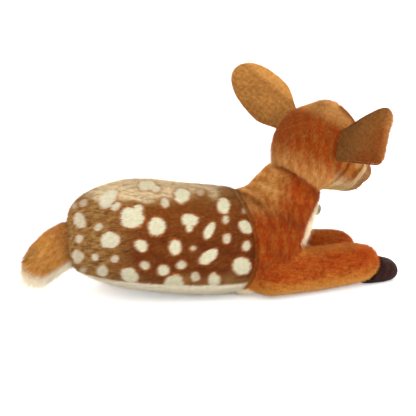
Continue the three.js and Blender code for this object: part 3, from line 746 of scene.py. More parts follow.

# %% [markdown]
# The cream spots are laid out through the camera. Each is an oval on the photograph: its middle, its half
# length and half width, its tilt and how strong it is. Three rays from the camera find the oval on the coat
# itself. The far side gets the same spots mirrored, as a fawn has them on both flanks.

# %% Lay out the spots
SPOTS = [
    (108.6, 198.6, 11.0, 7.0, 45, 1), (116.4, 206.9, 5.4, 3.6, 40, 0.9), (129.3, 182.9, 5.5, 3.2, 10, 0.5),
    (147, 185.6, 8.6, 5.4, 5, 0.9), (156.5, 189.8, 4.2, 3.4, 0, 0.9), (145, 200.7, 3.6, 2.4, 80, 0.55),
    (132.3, 217.6, 11.8, 10.3, 0, 1), (138.5, 209.5, 5.0, 4.4, 0, 1), (156.9, 226.4, 9.2, 8.6, 90, 1),
    (165, 203.6, 5.3, 4.0, 100, 0.85), (182.1, 195.7, 7.8, 7.3, 0, 1), (180.7, 184.6, 7.0, 3.2, 0, 0.6),
    (200.7, 192.9, 4.0, 3.4, 0, 0.5), (215.7, 188.2, 6.6, 2.4, 0, 0.5), (223.6, 206.4, 7.9, 6.0, 95, 1),
    (245.7, 210.7, 3.3, 3.2, 0, 0.7), (189.8, 220.2, 8.4, 6.0, 0, 1), (189.4, 227.5, 4.6, 3.2, 90, 1),
    (209.3, 230.7, 9.0, 4.4, 66, 1), (225.7, 220.0, 4.2, 2.9, 90, 0.85), (245.7, 227.1, 7.6, 5.6, -42, 1),
    (226.7, 238.6, 4.9, 3.7, 80, 0.85), (246.4, 245.7, 4.9, 4.0, 80, 0.9), (80.7, 220.7, 8.2, 5.6, 110, 0.8),
    (99.3, 227.1, 4.9, 3.5, 25, 0.8), (80.3, 238.6, 4.4, 3.6, 80, 0.75), (110.7, 240.0, 9.6, 8.0, 20, 1),
    (141.4, 245.3, 6.6, 5.4, -35, 1), (175, 247.1, 7.3, 6.0, 90, 1), (192.9, 247.9, 2.6, 2.5, 0, 0.85),
    (208.6, 256.4, 10.4, 5.6, 38, 1), (78.6, 256.1, 6.6, 5.6, 90, 0.75), (96, 256.7, 3.7, 3.6, 0, 0.85),
    (115, 258.3, 3.7, 3.5, 0, 0.8), (145, 264.6, 4.8, 4.0, -20, 0.85), (181.4, 264.3, 4.9, 4.0, 25, 0.9),
    (163.9, 269.7, 5.9, 5.4, 0, 1), (242.1, 265.4, 8.9, 8.4, 0, 1), (130, 275, 9.2, 7.0, -28, 1),
    (102.9, 270.4, 5.9, 5.0, 100, 0.85), (83.9, 269.3, 3.2, 2.8, 0, 0.6), (195.3, 276, 5.0, 4.2, 90, 0.8),
    (214, 279.7, 6.9, 6.1, 90, 1), (174.3, 283.5, 10.0, 7.6, 0, 1), (141.4, 285.4, 4.4, 2.8, 0, 0.8),
    (155, 285.8, 3.8, 2.4, 0, 0.7), (75, 206.4, 3.6, 3.0, 0, 0.5), (84.3, 203.6, 4.4, 3.6, 30, 0.55),
    (90, 194.5, 5.0, 2.6, 35, 0.45), (64.5, 221, 3.4, 6.0, 0, 0.4),
]
coat_tree = tree_of(hide)


def on_coat(x, y):
    """Where the camera sees the coat at a point of the photograph, in millimetres, and which way it faces."""
    place, out, _, _ = coat_tree.ray_cast(camera.location, through(x, y))
    return (None, None) if place is None else (np.array(place) / MM, np.array(out))


def laid_spots():
    laid = []
    for x, y, half_length, half_width, tilt, strength in SPOTS:
        middle, out = on_coat(x, y)
        if middle is None:
            continue
        turn = math.radians(tilt)
        arms = []
        for reach, way in ((half_length, (math.cos(turn), -math.sin(turn))),
                           (half_width, (math.sin(turn), math.cos(turn)))):
            tip = through(x + reach * way[0], y + reach * way[1])
            # The tip lies on the plane that touches the coat at the middle, stretched at most twofold.
            eye = np.array(camera.location) / MM
            slope = np.dot(np.array(tip), out)
            arm = eye + np.array(tip) * (np.dot(middle - eye, out) / slope) - middle
            arms.append(arm * min(1, 2 * reach / np.linalg.norm(arm)))
        laid.append((middle, *arms, strength))
    return laid


spots = laid_spots()
mirror = np.array([1, -1, 1])
far_spots = [(middle * mirror, one * mirror, two * mirror, strength) for middle, one, two, strength in spots]
print(len(spots), "spots are laid on each flank")

# %% [markdown]
# Where a spot is printed, the dark ground turns cream, and a warm ring runs round it. The edge is a little
# wavy, because on the real plush threads lie across it.

# %% Print the spots
SPOT_EDGE = 0.8  # how softly a spot ends, in millimetres
RING_EDGES = 3.6  # its warm ring ends this many such edges out
SPOT_DEPTH = 4  # above and below its own plane a spot marks the cloth to its half length and this much more
SPINE_REACH = 16  # how far a spot may reach over the middle on to the other flank
FAR_START = 14  # the far flank's spots start this far beside the middle


def spot_shares(rows):
    """How much of each point's colour is spot, and how much the warm ring round it."""
    wave = 0.11 * mottle(rows, 9, 5) + 0.05 * mottle(rows, 4, 6)
    cream, ring = np.zeros(len(rows)), np.zeros(len(rows))
    for side, group in ((-1, spots), (1, far_spots)):
        for middle, one, two, strength in group:
            apart = rows - middle
            across = np.stack([one, two], axis=1)
            flat = apart @ np.linalg.pinv(across).T
            off = np.abs(apart @ np.cross(one, two)) / np.linalg.norm(np.cross(one, two))
            size = np.linalg.norm(one)
            far = np.hypot(flat[:, 0], flat[:, 1]) + wave
            edge = SPOT_EDGE / size  # as a share of the spot's half length
            own_side = (rows[:, 1] * side > -SPINE_REACH) | (middle[1] * side > 0)
            allowed = (off < size + SPOT_DEPTH) & own_side
            if side == 1:
                allowed &= rows[:, 1] > FAR_START
            spot = 1 - ease(far, 1 - edge, 1 + edge)
            halo = 1 - ease(far, 1 + edge, 1 + RING_EDGES * edge)
            cream = np.maximum(cream, np.where(allowed, strength * spot, 0))
            ring = np.maximum(ring, np.where(allowed, strength * halo, 0))
    return cream, ring


print("the middle of the first spot is cream by", spot_shares(spots[0][0][None, :])[0].round(2)[0])

# %% [markdown]
# The coat is darkest in the middle of the flank, and pales over the back, over the rump and just above the
# belly, and its very top is painted paler still, as rim light through the pile. Shoulders and legs are rust,
# with a golden glow low down and on the nape. Along the round seam the pile parts, and a dark line of painted
# shade follows it.

# %% Colours of the body and the legs


def seam_shade_share(depth):
    """The share of painted seam shade: full on a seam, where the pile parts, and gone beside it."""
    return 1 - ease(np.abs(depth), SEAM_LINE, SEAM_LINE + SEAM_FADE)


def coat_colour(rows, strand):
    height = rows[:, 2] / BACK_HEIGHT + 0.05 * mottle(rows, 40, 11)
    rump = ease(-rows[:, 0] + 6 * mottle(rows, 30, 12), 74, 124)
    streak = mottle(rows * np.array([0.3, 1, 1]), 6, 13) + 1.4 * (strand - 0.5)
    # The straw layer at the very top of the back is painted rim light, where light comes through the pile.
    colour = blend_dyes(DARK, (UMBER, 0.3 + 0.4 * mottle(rows, 26, 14)),
                        (UMBER, ease(height, 0.6, 0.88)), (TAN, 0.6 * ease(height, 0.89, 0.99)),
                        (TAN, 0.6 * rump + 0.35 * rump * streak),
                        (SMOKE, 0.75 * rump * ease(-streak, 0, 0.8)),
                        (TAN, 0.5 * ease(-height, -0.34, -0.2)), (STRAW, 0.85 * ease(height, 0.97, 1.02)),
                        (SMOKE, 0.45 * ease(height, 0.8, 1) * ease(-streak, 0, 0.8)))
    cream, ring = spot_shares(rows)
    pale = blend_dyes(CREAM, (dye(224, 216, 190), 0.8 * rump))
    colour = blend_dyes(colour, (HALO, 0.8 * ring * (1 - 0.6 * rump)))
    colour = colour * (1 - cream[:, None]) + pale * cream[:, None]
    # The last layer is painted shade along the round seam.
    return blend_dyes(colour, (SEAM_SHADE, 0.7 * seam_shade_share(arch_depth(rows) - 1)))


def cream_colour(rows, strand):
    return blend_dyes(MILK, (STRAW, 0.06 + 0.16 * mottle(rows, 18, 21)))


def bib_colour(rows, strand):
    return blend_dyes(dye(250, 234, 200), (PALE_GOLD, 0.12 + 0.25 * mottle(rows, 14, 22)))


def shoulder_colour(rows, strand):
    patch, fine = mottle(rows, 34, 31), mottle(rows, 13, 32) + 0.8 * (strand - 0.5)
    nape = ease(rows[:, 2], 78, 112) * ease(-rows[:, 0], -84, -50)
    # The last layer is painted shade along the round seam.
    return blend_dyes(RUST, (DEEP_RUST, 0.45 + 0.45 * patch), (GOLD, 0.08 + 0.16 * fine),
                      (GOLD, 0.75 * nape), (PALE_GOLD, 0.5 * nape * (0.5 + fine)),
                      (UMBER, 0.3 * nape * (0.5 - fine)), (GOLD, 0.6 * ease(-rows[:, 2], -34, -10)),
                      (PALE_GOLD, 0.3 * ease(-rows[:, 2], -14, -4)),
                      (SEAM_SHADE, 0.6 * seam_shade_share(arch_depth(rows) + 1)))


def leg_colour(rows, strand):
    patch, fine = mottle(rows, 30, 41), mottle(rows, 10, 42) + 0.8 * (strand - 0.5)
    return blend_dyes(RUST, (DEEP_RUST, 0.25 + 0.4 * patch), (GOLD, 0.08 + 0.16 * fine),
                      (GOLD, 0.85 * ease(-rows[:, 2] + 3 * fine, -28, -8)),
                      (PALE_GOLD, 0.6 * ease(-rows[:, 2], -15, -3)), (GOLD, 0.4 * ease(rows[:, 2], 38, 46)))


print("the coat on the flank is", coat_colour(np.array([[-60.0, -60, 80]]), 0.5).round(2)[0])

# %% [markdown]
# The head is rust behind and pale towards the muzzle and the throat. The tail is brown above, and cream
# below and at its tip. The ears are brown outside, with a cream lining.

# %% Colours of the head, the tail, the ears and the hooves


def head_colour(rows, strand):
    seen = HEAD.inside(rows)
    patch, fine = mottle(rows, 26, 51), mottle(rows, 9, 52) + 0.8 * (strand - 0.5)
    low = ease(-seen[:, 2], 2, 32)
    crown = ease(seen[:, 2], 24, 44)
    # The gold and pale gold over the crown are painted rim light, where light comes through the pile on top.
    return blend_dyes(RUST, (DEEP_RUST, 0.2 + 0.35 * patch), (UMBER, 0.35 + 0.25 * fine),
                      (GOLD, 0.08 + 0.12 * fine), (dye(206, 140, 72), 0.75 * low),
                      (PALE_GOLD, 0.22 * low + 0.4 * low * fine), (GOLD, 0.6 * crown),
                      (PALE_GOLD, 0.45 * crown), (UMBER, 0.6 * ease(seen[:, 1], 5, 40) * (1 - low)))


def eye_ring(rows, inner, outer):
    return 1 - ease(np.minimum(*(np.linalg.norm(rows - eye.middle, axis=1) for eye in EYE.values())),
                    inner, outer)


def face_colour(rows, strand):
    seen = HEAD.inside(rows)
    fine = mottle(rows, 9, 53)
    # The deep rust towards the seam with the back of the head is painted shade under the near ear.
    return blend_dyes(dye(208, 118, 48), (DEEP_RUST, 0.3 * ease(-seen[:, 0], -26, -10)),
                      (GOLD, 0.4 + 0.25 * fine), (FAWN, 0.95 * ease(-seen[:, 2], 8, 26)),
                      (PALE_GOLD, 0.8 * eye_ring(rows, 9, 13)), (FAWN, ease(seen[:, 0], 54, 60)))


def muzzle_colour(rows, strand):
    seen = HEAD.inside(rows)
    return blend_dyes(dye(230, 176, 112), (FAWN, 1 - ease(seen[:, 0], 67, 72)),
                      (FAWN, 0.8 * ease(-seen[:, 2], 12, 26)), (GOLD, 0.25 + 0.2 * mottle(rows, 9, 61)))


def tail_colour(rows, strand):
    seen = TAIL.inside(rows)
    patch, fine = mottle(rows, 20, 71), mottle(rows, 7, 72) + 0.9 * (strand - 0.5)
    return blend_dyes(dye(196, 128, 50), (dye(170, 94, 28), 0.4 + 0.4 * patch),
                      (SMOKE, 0.5 * ease(seen[:, 0], 22, 36) * ease(-seen[:, 2], 2, 14)),
                      (dye(220, 164, 90), 0.22 + 0.35 * fine), (DEEP_RUST, 0.35 * ease(-seen[:, 0], -18, -2)),
                      (MILK, 0.9 * ease(seen[:, 0] + 0.45 * seen[:, 2] + 4 * fine, 46, 56)))


def tail_under_colour(rows, strand):
    seen = TAIL.inside(rows)
    return blend_dyes(tail_colour(rows, strand), (MILK, ease(seen[:, 2], 10, 17)),
                      (MILK, 0.9 * ease(seen[:, 0] + seen[:, 2], 46, 58)))


def ear_colour(side):
    near = side == "right"

    def colour(rows, strand):
        seen = EAR[side].inside(rows)
        fine, patch = mottle(rows, 5, 81), mottle(rows, 24, 82)
        if near:
            warm = ease(seen[:, 0] - seen[:, 1], 26, 70)
            base = blend_dyes(dye(164, 108, 54), (dye(158, 76, 24), 0.1 + 0.75 * warm + 0.2 * patch))
            # The paler band at the end of the ear is a painted highlight along its rim.
            return blend_dyes(base, (dye(122, 70, 30), 0.25 + 0.3 * fine),
                              (dye(214, 150, 84), 0.45 * ease(seen[:, 0], 58, 66)))
        base = blend_dyes(dye(198, 138, 70), (dye(176, 116, 58), 0.4 + 0.4 * patch))
        fold = seen[:, 1] + 13 - 0.08 * seen[:, 0]  # the lining's allowance pads the leaf beyond this line
        # Beyond the fold line the padded leaf is painted lighter, a painted highlight, and painted shade runs
        # along the crease of the fold.
        return blend_dyes(base, (dye(150, 98, 48), 0.25 + 0.35 * fine),
                          (dye(222, 160, 84), 0.6 * ease(-fold, -3, 6)),
                          (dye(150, 92, 40), 0.3 * (1 - ease(np.abs(fold), 0.5, 3.5))))

    return colour


def lining_colour(rows, strand):
    return blend_dyes(dye(244, 228, 200), (STRAW, 0.3 + 0.3 * mottle(rows, 9, 91)))


def hoof_colour(rows, strand):
    return blend_dyes(dye(60, 34, 28), (dye(40, 22, 18), 0.5 + 0.5 * mottle(rows, 8, 121)))


print("the crown is", head_colour(HEAD.outside(np.array([[-20.0, 0, 50]])), 0.5).round(2)[0])

# %% [markdown]
# One kind of finish serves all the plush. Its colour is the one dyed into each vertex, with painted shade at
# the foot of a thread, where it is buried in its neighbours, and painted rim light that makes its tip paler.
# A slow noise moves the painted shade of whole tufts. Real pile glows softly at its edges, so the shader has
# a sheen, and its normals lean to the cloth's own, which keeps thousands of flat blades from glittering.

# %% The plush finish


def make_tuft_group():
    """Shade of a thread: from its colour, how far along it a point is, and which thread it is."""
    tree = bpy.data.node_groups.new("tuft", "ShaderNodeTree")
    face = tree.interface
    for name, kind in [("Colour", "Color"), ("Along", "Float"), ("Strand", "Float"), ("Spread", "Float"),
                       ("Tip", "Float"), ("Tip Colour", "Color")]:
        face.new_socket(name, in_out="INPUT", socket_type=f"NodeSocket{kind}")
    face.new_socket("Colour", in_out="OUTPUT", socket_type="NodeSocketColor")
    given = tree.nodes.new("NodeGroupInput").outputs
    place = tree.nodes.new("ShaderNodeTexCoord").outputs["Object"]
    # A slow noise moves the painted shade of whole tufts.
    cloud = wired(tree, "ShaderNodeTexNoise",
                  {"Vector": place, "Scale": 300.0, "Detail": 2.0, "Roughness": 0.6})
    tuft = sums(tree, "MULTIPLY", sums(tree, "SUBTRACT", cloud.outputs[0], 0.5), 1.1)
    thread = sums(tree, "MULTIPLY", sums(tree, "SUBTRACT", given["Strand"], 0.5), given["Spread"])
    # The foot of a thread is painted darker, as shade where it is buried in its neighbours.
    foot = sums(tree, "MULTIPLY", sums(tree, "POWER", given["Along"], 0.8), 0.75)
    shade = sums(tree, "ADD", sums(tree, "ADD", 0.45, foot), sums(tree, "ADD", tuft, thread))
    # Pale threads let light through to their feet, so they are shaded less.
    pale = wired(tree, "ShaderNodeSeparateColor", {"Color": given["Colour"]}).outputs["Green"]
    missing = sums(tree, "SUBTRACT", 1.0, shade)
    shade = sums(tree, "ADD", shade, sums(tree, "MULTIPLY", missing, sums(tree, "MULTIPLY", pale, 0.8)))
    darker = scaled(tree, given["Colour"], shade)
    # Towards its end a thread turns to the paler tip colour, painted rim light.
    tip = sums(tree, "MULTIPLY", sums(tree, "POWER", given["Along"], 2.0), given["Tip"])
    end = tree.nodes.new("NodeGroupOutput")
    tree.links.new(between(tree, tip, darker, given["Tip Colour"]), end.inputs["Colour"])
    return tree


tuft_group = make_tuft_group()


def new_material(name):
    """A material with its node tree and its shader."""
    material = bpy.data.materials.new(name)
    material.use_nodes = True
    return material, material.node_tree, material.node_tree.nodes["Principled BSDF"]


def plush(name, spread=0.4, tip=0.1, pale=(230, 180, 110), roughness=0.9, sheen=0.04, warm=(1, 0.8, 0.55),
          lean=0.6):
    """A plush finish. Spread is how much threads differ, tip how much of the pale colour, a painted rim
    light, they end in.
    """
    material, tree, shader = new_material(name)
    attribute = {key: wired(tree, "ShaderNodeAttribute", attribute_name=key, attribute_type="GEOMETRY")
                 for key in ("fur_colour", "along", "strand", "under")}
    group = wired(tree, "ShaderNodeGroup", node_tree=tuft_group)
    tree.links.new(attribute["fur_colour"].outputs["Color"], group.inputs["Colour"])
    tree.links.new(attribute["along"].outputs["Fac"], group.inputs["Along"])
    tree.links.new(attribute["strand"].outputs["Fac"], group.inputs["Strand"])
    group.inputs["Spread"].default_value = spread
    # The tip colour is painted rim light at the ends of the threads.
    group.inputs["Tip"].default_value = tip
    group.inputs["Tip Colour"].default_value = (*dye(*pale), 1)
    tree.links.new(group.outputs["Colour"], shader.inputs["Base Color"])
    under = wired(tree, "ShaderNodeVectorTransform", {"Vector": attribute["under"].outputs["Vector"]},
                  vector_type="NORMAL", convert_from="OBJECT", convert_to="WORLD")
    real = wired(tree, "ShaderNodeNewGeometry").outputs["Normal"]
    # Where the cloth faces away from the side that a thread shows, its normal is mirrored to that side.
    dot = vector_math(tree, "DOT_PRODUCT", under.outputs[0], real)
    away = sums(tree, "MULTIPLY", sums(tree, "MINIMUM", dot, 0.0), -2.0)
    cloth = vector_math(tree, "ADD", under.outputs[0], scaled(tree, real, away))
    mean = vector_math(tree, "ADD", scaled(tree, cloth, lean), scaled(tree, real, 1 - lean))
    tree.links.new(vector_math(tree, "NORMALIZE", mean), shader.inputs["Normal"])
    shader.inputs["Roughness"].default_value = roughness
    shader.inputs["Specular IOR Level"].default_value = 0.06
    shader.inputs["Sheen Weight"].default_value = sheen
    shader.inputs["Sheen Roughness"].default_value = 0.5
    shader.inputs["Sheen Tint"].default_value = (*warm, 1)
    return material


finishes = {
    "coat": plush("coat plush", 0.55, 0.05, (214, 176, 120)),
    "rust": plush("rust plush", 0.36, 0.08, (232, 140, 54)),
    "cream": plush("cream plush", 0.14, 0.15, (255, 250, 235), warm=(1, 0.97, 0.9)),
    "tail": plush("tail plush", 0.5, 0.14, (238, 196, 130)),
    "ear": plush("short ear plush", 0.35, 0.08, (220, 170, 110)),
    "hoof": plush("hoof velour", 0.25, 0.0, roughness=0.6, sheen=0.25, warm=(0.6, 0.45, 0.4), lean=0.3),
}
print("plush finishes:", sorted(finishes))

# %% [markdown]
# Dressing a panel takes five steps: comb it, scatter its pile, dye every thread with the print, close the
# cloth with a wall, and join cloth and pile into one piece. Where light comes from behind, plush shows a
# halo of loose ends, so a thin second pile stands up through the first, dyed paler as painted rim light.

# %% Dress a panel with pile


def set_attribute(mesh, name, kind, values):
    old = mesh.attributes.get(name)
    if old is not None:
        mesh.attributes.remove(old)
    layer = mesh.attributes.new(name, kind, "POINT")
    field = {"FLOAT": "value", "FLOAT_VECTOR": "vector", "FLOAT_COLOR": "color"}[kind]
    layer.data.foreach_set(field, np.asarray(values, np.float32).ravel())


def read_attribute(mesh, name, width):
    values = np.empty(len(mesh.vertices) * width, np.float32)
    field = {1: "value", 3: "vector"}[width]
    mesh.attributes[name].data.foreach_get(field, values)
    return values.astype(float).reshape(-1, width) if width > 1 else values.astype(float)


FUZZ_RIM_LIGHT = dye(236, 196, 140)  # painted rim light on the loose ends of threads, lighter than the print
RIM_LIGHT_SHARE = 0.18  # how far the loose ends go towards that painted rim light
FUZZ_LONG = 1.15  # their length, as a share of the other threads'
FUZZ_WIDE = 0.5
FUZZ_RUFFLE = 0.55
CLOTH_SHADE_ALONG = 0.12  # the cloth gets the painted shade that a thread has this far along
PRINT_SHARE = 0.9  # the print is on the plush's face, so a thread's own place counts more than its root's


def dyed(piece, colour, rim_light=0.0):
    """Gives each vertex its colour. The last argument is how far it goes towards the painted rim light of
    loose ends.
    """
    mesh = piece.data
    rows = ((1 - PRINT_SHARE) * read_attribute(mesh, "root", 3) + PRINT_SHARE * places(mesh)) / MM
    strand = read_attribute(mesh, "strand", 1)
    colours = np.ones((len(rows), 4))
    printed = np.clip(colour(rows, strand), 0, 1)
    # Loose ends are lifted towards the paler colour of painted rim light.
    colours[:, :3] = printed + rim_light * np.maximum(FUZZ_RIM_LIGHT - printed, 0)
    set_attribute(mesh, "fur_colour", "FLOAT_COLOR", colours)


def grown(name, mesh, **sizes):
    """Threads of these sizes on a copy of a cloth."""
    pile = of_mesh(name, mesh.copy())
    modifier = pile.modifiers.new("pile", "NODES")
    modifier.node_group = pile_group
    for item in pile_group.interface.items_tree:
        if item.in_out == "INPUT" and item.name in sizes:
            modifier[item.identifier] = sizes[item.name]
    return applied(pile)


def joined(pieces, name):
    with bpy.context.temp_override(active_object=pieces[0], object=pieces[0],
                                   selected_objects=pieces, selected_editable_objects=pieces):
        bpy.ops.object.join()
    pieces[0].name = pieces[0].data.name = name
    return pieces[0]


def covered(piece, finish):
    """Gives the whole piece one finish and smooth shading."""
    faces = piece.data.polygons
    piece.data.materials.clear()
    piece.data.materials.append(finishes[finish])
    faces.foreach_set("use_smooth", [True] * len(faces))
    faces.foreach_set("material_index", [0] * len(faces))


def dressed(cloth, comb, colour, finish, long, wide=0.5, lift=0.28, droop=0.22, ruffle=0.16, swirl=0.5,
            threads=1.6, steps=3, seed=1, keep=None, wall=CLOTH, fuzz=0.0):
    """Turns a cut panel into plush. Long and wide are a thread's size, and threads how many per square mm.
    Fuzz is how many finer threads per square mm stand up off the others."""
    name = cloth.name
    mesh = cloth.data
    rows, out = places(mesh) / MM, normals(mesh)
    way = comb(rows, out)
    way -= out * (way * out).sum(axis=1, keepdims=True)
    way /= np.maximum(np.linalg.norm(way, axis=1, keepdims=True), 1e-3)
    set_attribute(mesh, "comb", "FLOAT_VECTOR", way)
    if "pile" not in mesh.attributes:
        set_attribute(mesh, "pile", "FLOAT", np.ones(len(rows)))
    if keep is not None:
        set_attribute(mesh, "pile", "FLOAT", read_attribute(mesh, "pile", 1) * keep(rows, out))
    pile = grown(name + "_pile", mesh, Density=threads / MM**2, Length=long * MM, Width=wide * MM, Lift=lift,
                 Droop=droop, Ruffle=ruffle, Swirl=swirl, Steps=steps, Seed=seed)
    dyed(pile, colour)
    layers = [pile]
    if fuzz:
        fine = grown(name + "_fuzz", mesh, Density=fuzz / MM**2, Length=FUZZ_LONG * long * MM,
                     Width=FUZZ_WIDE * wide * MM, Lift=1.0, Droop=droop, Ruffle=FUZZ_RUFFLE, Swirl=swirl,
                     Steps=4, Seed=seed + 100)
        # The fuzz is dyed paler, as painted rim light.
        dyed(fine, colour, rim_light=RIM_LIGHT_SHARE)
        layers.append(fine)
    set_attribute(mesh, "root", "FLOAT_VECTOR", rows * MM)
    set_attribute(mesh, "under", "FLOAT_VECTOR", out)
    set_attribute(mesh, "strand", "FLOAT", np.full(len(rows), 0.5))
    # The cloth between the threads gets a thread foot's painted shade.
    set_attribute(mesh, "along", "FLOAT", np.full(len(rows), CLOTH_SHADE_ALONG))
    if wall:
        with_modifier(cloth, "SOLIDIFY", thickness=wall * MM, offset=-1)
    dyed(cloth, colour)
    piece = joined([cloth, *layers], name)
    for key in ("comb", "pile"):
        layer = piece.data.attributes.get(key)
        if layer is not None:
            piece.data.attributes.remove(layer)
    covered(piece, finish)
    print(name, "has", sum(len(p.vertices) - 2 for p in piece.data.polygons), "triangles")
    return piece


# The colour that loose ends are dyed towards is painted rim light.
print("loose ends are dyed towards", FUZZ_RIM_LIGHT.round(2))

# %% [markdown]
# Now the panels themselves. The pile of the coat lies towards the tail. On the shoulders it stands up more
# and falls down and back, on a limb it runs out to the hoof. No pile grows inside the neck or the tail's
# socket, where it would only stick through the other piece's cloth.

# %% Coat, belly, shoulders and bib
skin_trees = {piece.name: tree_of(piece) for piece in (hide, skull, brush)}
HIDDEN_REACH = 5  # a piece this near over the cloth hides it, in millimetres


def open_to_air(*names):
    """A share for the pile: none where one of these pieces lies just over the cloth."""
    def share(rows, out):
        found = np.ones(len(rows))
        for i, (row, way) in enumerate(zip(rows, out)):
            start = Vector((row + 0.3 * way) * MM)
            if any(skin_trees[name].ray_cast(start, Vector(way), HIDDEN_REACH * MM)[0] for name in names):
                found[i] = 0
        return found

    return share


def combed(x, y, z):
    """Combs the same way all over."""
    return lambda rows, out: np.tile(np.array([x, y, z], float), (len(rows), 1))


def coat_comb(rows, out):
    way = np.tile(np.array([-1.0, 0, -0.22]), (len(rows), 1))
    way[:, 2] -= 0.25 * mottle(rows, 70, 101)
    return way


def shoulder_comb(rows, out):
    way = np.tile(np.array([-0.45, 0, -1.0]), (len(rows), 1))
    way[:, 0] += 0.4 * mottle(rows, 45, 102)
    way[:, 1] += 0.3 * mottle(rows, 45, 103)
    return way


def panel_of(name, *names):
    return cut_panel(name, hide, np.isin(panel_names, names))


middles = np.array([p.center for p in hide.data.polygons]) / MM
right = middles[:, 1] < 0.0
coat_faces = panel_names == "coat"
torso = []
for name, chosen, rings, seed in [("coat_right", coat_faces & right, 2, 1),
                                  ("coat_left", coat_faces & ~right, 1, 2)]:
    torso.append(dressed(cut_panel(name, hide, chosen, rings), coat_comb, coat_colour, "coat", long=6.2,
                         wide=0.42, lift=0.5, droop=0.15, ruffle=0.3, swirl=0.45, threads=2.6, seed=seed,
                         keep=open_to_air("brush"), fuzz=0.22))
torso.append(dressed(panel_of("belly", "belly"), combed(-1, 0, -0.1), cream_colour, "cream", long=7,
                     wide=0.55, lift=0.45, ruffle=0.24, threads=1.2, seed=3, fuzz=0.2))
torso.append(dressed(panel_of("shoulders", "shoulder"), shoulder_comb, shoulder_colour, "rust", long=6,
                     wide=0.42, lift=0.75, droop=0.25, ruffle=0.42, swirl=0.55, threads=3, seed=4,
                     keep=open_to_air("skull"), fuzz=0.25))
torso.append(dressed(panel_of("bib", "bib"), combed(-0.2, 0, -1), bib_colour, "cream", long=8, wide=0.55,
                     lift=0.5, ruffle=0.28, threads=1.8, seed=5, keep=open_to_air("skull"), fuzz=0.3))
for piece, finish in zip(torso, ("spotted_pile", "spotted_pile", "cream_pile", "rust_pile", "cream_pile")):
    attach(piece, "torso")
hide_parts("coat_skin")
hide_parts("coat_skin", "body_filling")
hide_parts("belly_panel", "pellet_pouch")
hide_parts("shoulder_skin")
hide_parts("chest_bib")

# %% [markdown]
# A leg is sewn to the body all round its root.

# %% Legs
LEG_BLEND = (8, 48)  # how far along a leg a bend of it would start and end


def leg_comb(leg):
    return lambda rows, out: np.tile(LEG[leg].way(1, 0, -0.25), (len(rows), 1))


for number, leg in enumerate(LEGS):
    cloth = cut_panel(leg_node(leg, "fur"), hide, panel_names == leg)
    piece = dressed(cloth, leg_comb(leg), leg_colour, "rust", long=5.4, wide=0.42, lift=0.7, droop=0.25,
                    ruffle=0.42, swirl=0.5, threads=2.7, seed=10 + number, fuzz=0.25)
    start, end = (LEG[leg].middle + LEG[leg].way(along, 0, 0) for along in LEG_BLEND)
    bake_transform(piece)
    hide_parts(leg_node(leg, "skin"), leg_node(leg, "filling"))

# %% [markdown]
# The head is three panels: its back, the face and the muzzle. The pile is clipped short round the eyes, the
# nose and the mouth, and left longest low down at the back, where it hangs over the neck. Thread draws the
# seams between them in.

# %% Head


def head_comb(rows, out):
    seen = HEAD.inside(rows)
    back = np.tile(HEAD.way(-1, 0, 0.1), (len(rows), 1))
    down = np.tile(np.array([-0.15, 0, -1.0]), (len(rows), 1))
    share = ease(-seen[:, 0], -14, 10)[:, None]
    way = back * (1 - share) + down * share
    return way + 0.3 * np.stack([mottle(rows, 30, 110 + k) for k in range(3)], axis=1)


def muzzle_comb(rows, out):
    return np.tile(HEAD.way(-1, 0, -0.15), (len(rows), 1))


def head_keep(rows, out):
    """Longer pile low on the back of the head, where it hangs over the neck, and short pile at the eyes."""
    seen = HEAD.inside(rows)
    low = 0.75 + 0.6 * ease(-seen[:, 2], 6, 30) * ease(-seen[:, 0], -40, -10)
    return low * (1 - 0.4 * eye_ring(rows, 7, 12)) * open_to_air("hide")(rows, out)


def muzzle_keep(rows, out):
    """Pile clipped short round the nose and the mouth."""
    seen = HEAD.inside(rows)
    return 0.4 + 0.6 * ease(-seen[:, 0], -93, -80)


HEAD_SEAMS = {FACE_SEAM: 0.5, MUZZLE_SEAM: 1.0}  # where each seam is, and how far it is drawn in
HEAD_SEAM_REACH = 4
seen = HEAD.inside(np.array([p.center for p in skull.data.polygons]) / MM)
rows, out = places(skull.data) / MM, normals(skull.data)
for seam, most in HEAD_SEAMS.items():
    depth = np.abs(HEAD.inside(rows)[:, 0] - seam)
    rows -= out * (most * np.maximum(1 - depth / HEAD_SEAM_REACH, 0) ** 2)[:, None]
set_places(skull.data, rows * MM)
head_parts = [
    dressed(cut_panel("head_back", skull, seen[:, 0] < FACE_SEAM), head_comb, head_colour, "rust", long=8,
            wide=0.42, lift=0.65, droop=0.3, ruffle=0.42, swirl=0.6, threads=2.9, seed=20, keep=head_keep,
            fuzz=0.25),
    dressed(cut_panel("face", skull, (seen[:, 0] >= FACE_SEAM) & (seen[:, 0] < MUZZLE_SEAM)), head_comb,
            face_colour, "rust", long=6, wide=0.45, lift=0.42, ruffle=0.22, swirl=0.5, threads=2.4, seed=21,
            keep=head_keep, fuzz=0.3),
    dressed(cut_panel("muzzle", skull, seen[:, 0] >= MUZZLE_SEAM), muzzle_comb, muzzle_colour, "cream",
            long=4.5, wide=0.42, lift=0.5, ruffle=0.22, swirl=0.3, threads=3.2, seed=22, keep=muzzle_keep),
]
head_nodes = (["head_back_skin", "head_filling"], ["face_skin"], ["muzzle_skin"])
for piece, nodes, finish in zip(head_parts, head_nodes, ("rust_pile", "rust_pile", "muzzle_pile")):
    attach(piece, "head")
    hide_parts(*nodes)

# %% [markdown]
# The tail's two panels grow out of the body.

# %% Tail
TAIL_BLEND = (-4, 16)  # where a bend of the tail would start and end along it


def tail_comb(rows, out):
    return np.tile(TAIL.way(1, 0, 0.12), (len(rows), 1))


def tail_keep(rows, out):
    seen = TAIL.inside(rows)
    return (0.75 + 0.95 * ease(seen[:, 0] + 0.4 * seen[:, 2], 26, 52)) * open_to_air("hide")(rows, out)


